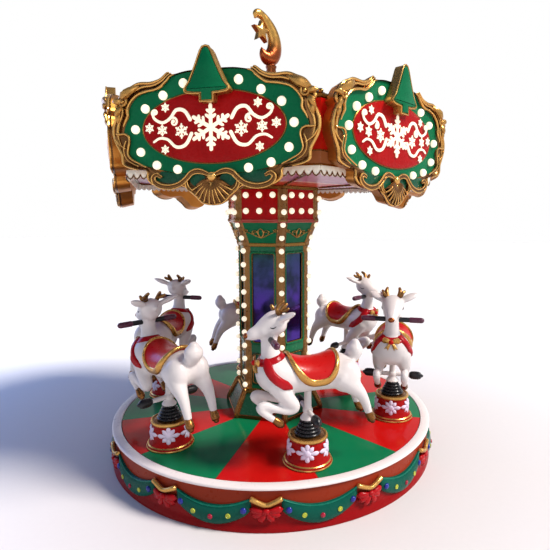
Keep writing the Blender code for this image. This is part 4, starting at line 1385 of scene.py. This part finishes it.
def add_bars():
    """Handlebar with ribbed grips, post with the footrest bar, and ribbed pedals."""
    x, z = HANDLE
    six_rides("handlebar_tube", [tube([(x, y, z) for y in (-0.14, -0.06, 0.0, 0.06, 0.14)], 0.017, 18)],
              black, "handlebar")
    steps = range(GRIP_STEPS + 1)
    sizes = [0.019 + (0.001 if i % RIB_STEP == 1 else 0.0) for i in steps]
    grip = tube([(x, GRIP_START + GRIP_LENGTH * i / GRIP_STEPS, z) for i in steps], sizes, 16)
    six_rides("grips", across(grip), plum)
    profile = mm((0, 530), (46, 531), (47, 536), (40, 546), (28, 562), (22.5, 590), (21.5, 730), (0, 740))
    rest = tube([(0.0, y, FOOTREST_HEIGHT) for y in (-0.15, -0.05, 0.0, 0.05, 0.15)],
                [0.014, 0.015, 0.017, 0.015, 0.014], 18)
    hub = ball((0.0, 0.0, FOOTREST_HEIGHT), 0.031, 20, 12)
    six_rides("post_and_bar", [lathe(profile, 32), rest, hub], white, "lift_post")
    sizes = [0.012]
    shares = [i / PEDAL_STEPS for i in range(PEDAL_STEPS + 1)]
    for i, share in enumerate(shares[1:-1], 1):
        rib = 0.0016 if i % RIB_STEP == 1 else 0.0
        sizes.append(0.029 * (1.0 - abs(2 * share - 1) ** 3) ** 0.33 + rib)
    sizes.append(0.012)
    pedal = tube([(0.0, GRIP_START + PEDAL_LENGTH * share, FOOTREST_HEIGHT) for share in shares],
                 sizes, 18, 0.88)
    six_rides("pedals", across(pedal), black)


def bellows_profile():
    profile = [(0.0, PEDESTAL_TOP + 0.0005)]
    step = (BELLOWS_TOP - PEDESTAL_TOP - 0.002) / BELLOWS_FOLDS
    fold = [(-0.015, 0.0), (-0.0035, 0.1), (0.0, 0.34), (-0.0015, 0.58), (-0.007, 0.8), (-0.019, 0.94)]
    for i in range(BELLOWS_FOLDS):
        radius = 0.082 - 0.046 * i / BELLOWS_FOLDS
        bottom = PEDESTAL_TOP + 0.001 + step * i
        profile += [(radius + out, bottom + share * step) for out, share in fold]
    return profile + [(0.03, BELLOWS_TOP), (0.0, BELLOWS_TOP)]


def add_bellows():
    shape = lathe(bellows_profile(), 40)
    for k in range(STATIONS):
        name = f"bellows_folds_{k + 1}"
        piece = new_object(name, make_mesh(name, [shape], bellows_black, 60.0))
        piece.matrix_world = ride_place(k)
        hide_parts(f"bellows_{k + 1}")
        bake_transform(piece)


def add_pedestals():
    low, top = DECK_TOP + 0.0005, PEDESTAL_TOP
    foot = moved(mm((0, 0), (145, 0), (149, 6), (149, 13), (138, 27), (130, 38), (123, 56), (119, 86),
        (117, 120)), 0.0, low)
    head = moved(mm((115, -22), (106, -10), (0, -10)), 0.0, top)
    six_rides("pedestal_drum", [lathe(foot + head, 64)], sign_red, "pedestal", moving=False)
    bands = [mm((112, 1), (151, 1), (153, 7), (150, 12), (112, 12)),
             mm((112, 19), (144, 19), (145.5, 23), (141, 28), (112, 28))]
    six_rides("pedestal_bands", [closed_lathe(moved(band, 0.0, low), 64) for band in bands], trim_gold,
              moving=False)
    rim = mm((104, -14), (117, -23), (121.5, -18), (122, -11), (119, -3), (113, -0.5), (107, -3))
    six_rides("pedestal_rim", [closed_lathe(moved(rim, 0.0, top), 64)], trim_gold, moving=False)
    cap = moved(mm((60, -12), (106, -12), (106, -7), (98, -4.5), (60, -3.5)), 0.0, top)
    six_rides("pedestal_cap", [closed_lathe(cap, 64)], brown_gold, moving=False)
    bent = wrapped(flower(), 0.1205, 0.364, 0.045)
    flowers = [at_bearing(bent, 18.0 + 360.0 * k / FLOWERS) for k in range(FLOWERS)]
    six_rides("pedestal_flowers", flowers, lilac, moving=False)


def add_floor():
    """The pale studio floor, a touch darker near the carousel as painted shade round its foot."""
    corners = [(x * FLOOR_HALF, y * FLOOR_HALF, 0.0) for x, y in ((-1, -1), (1, -1), (1, 1), (-1, 1))]
    mesh = raw_mesh("floor", [(corners, [(0, 1, 2, 3)])])
    material, tree, shader = new_material("floor_paint")
    fine = noise(tree, 30.0)
    # Painted shade: the floor is darker near the carousel and fades to the pale far colour between 1.3 and
    # 3.4 metres out.
    away = spread_of(tree, measure(tree, "LENGTH", object_place(tree)), 1.3, 3.4)
    near = mix_colours(tree, fine, (0.7, 0.665, 0.665), (0.725, 0.69, 0.69))
    far = mix_colours(tree, fine, (0.95, 0.945, 0.94), (0.97, 0.965, 0.96))
    feed(tree, shader, {"Base Color": mix_colours(tree, away, near, far), "Roughness": 0.55})
    mesh.materials.append(material)
    floor = new_object("floor", mesh)
    floor.location.z = -0.0005


add_camera()
add_surroundings()
add_floor()
add_base()
add_column()
add_canopy()
add_board()
add_carving()
add_tree()
add_finial()
skin_tree = add_animal()
add_harness(skin_tree)
add_saddle()
add_bars()
add_bellows()
add_pedestals()
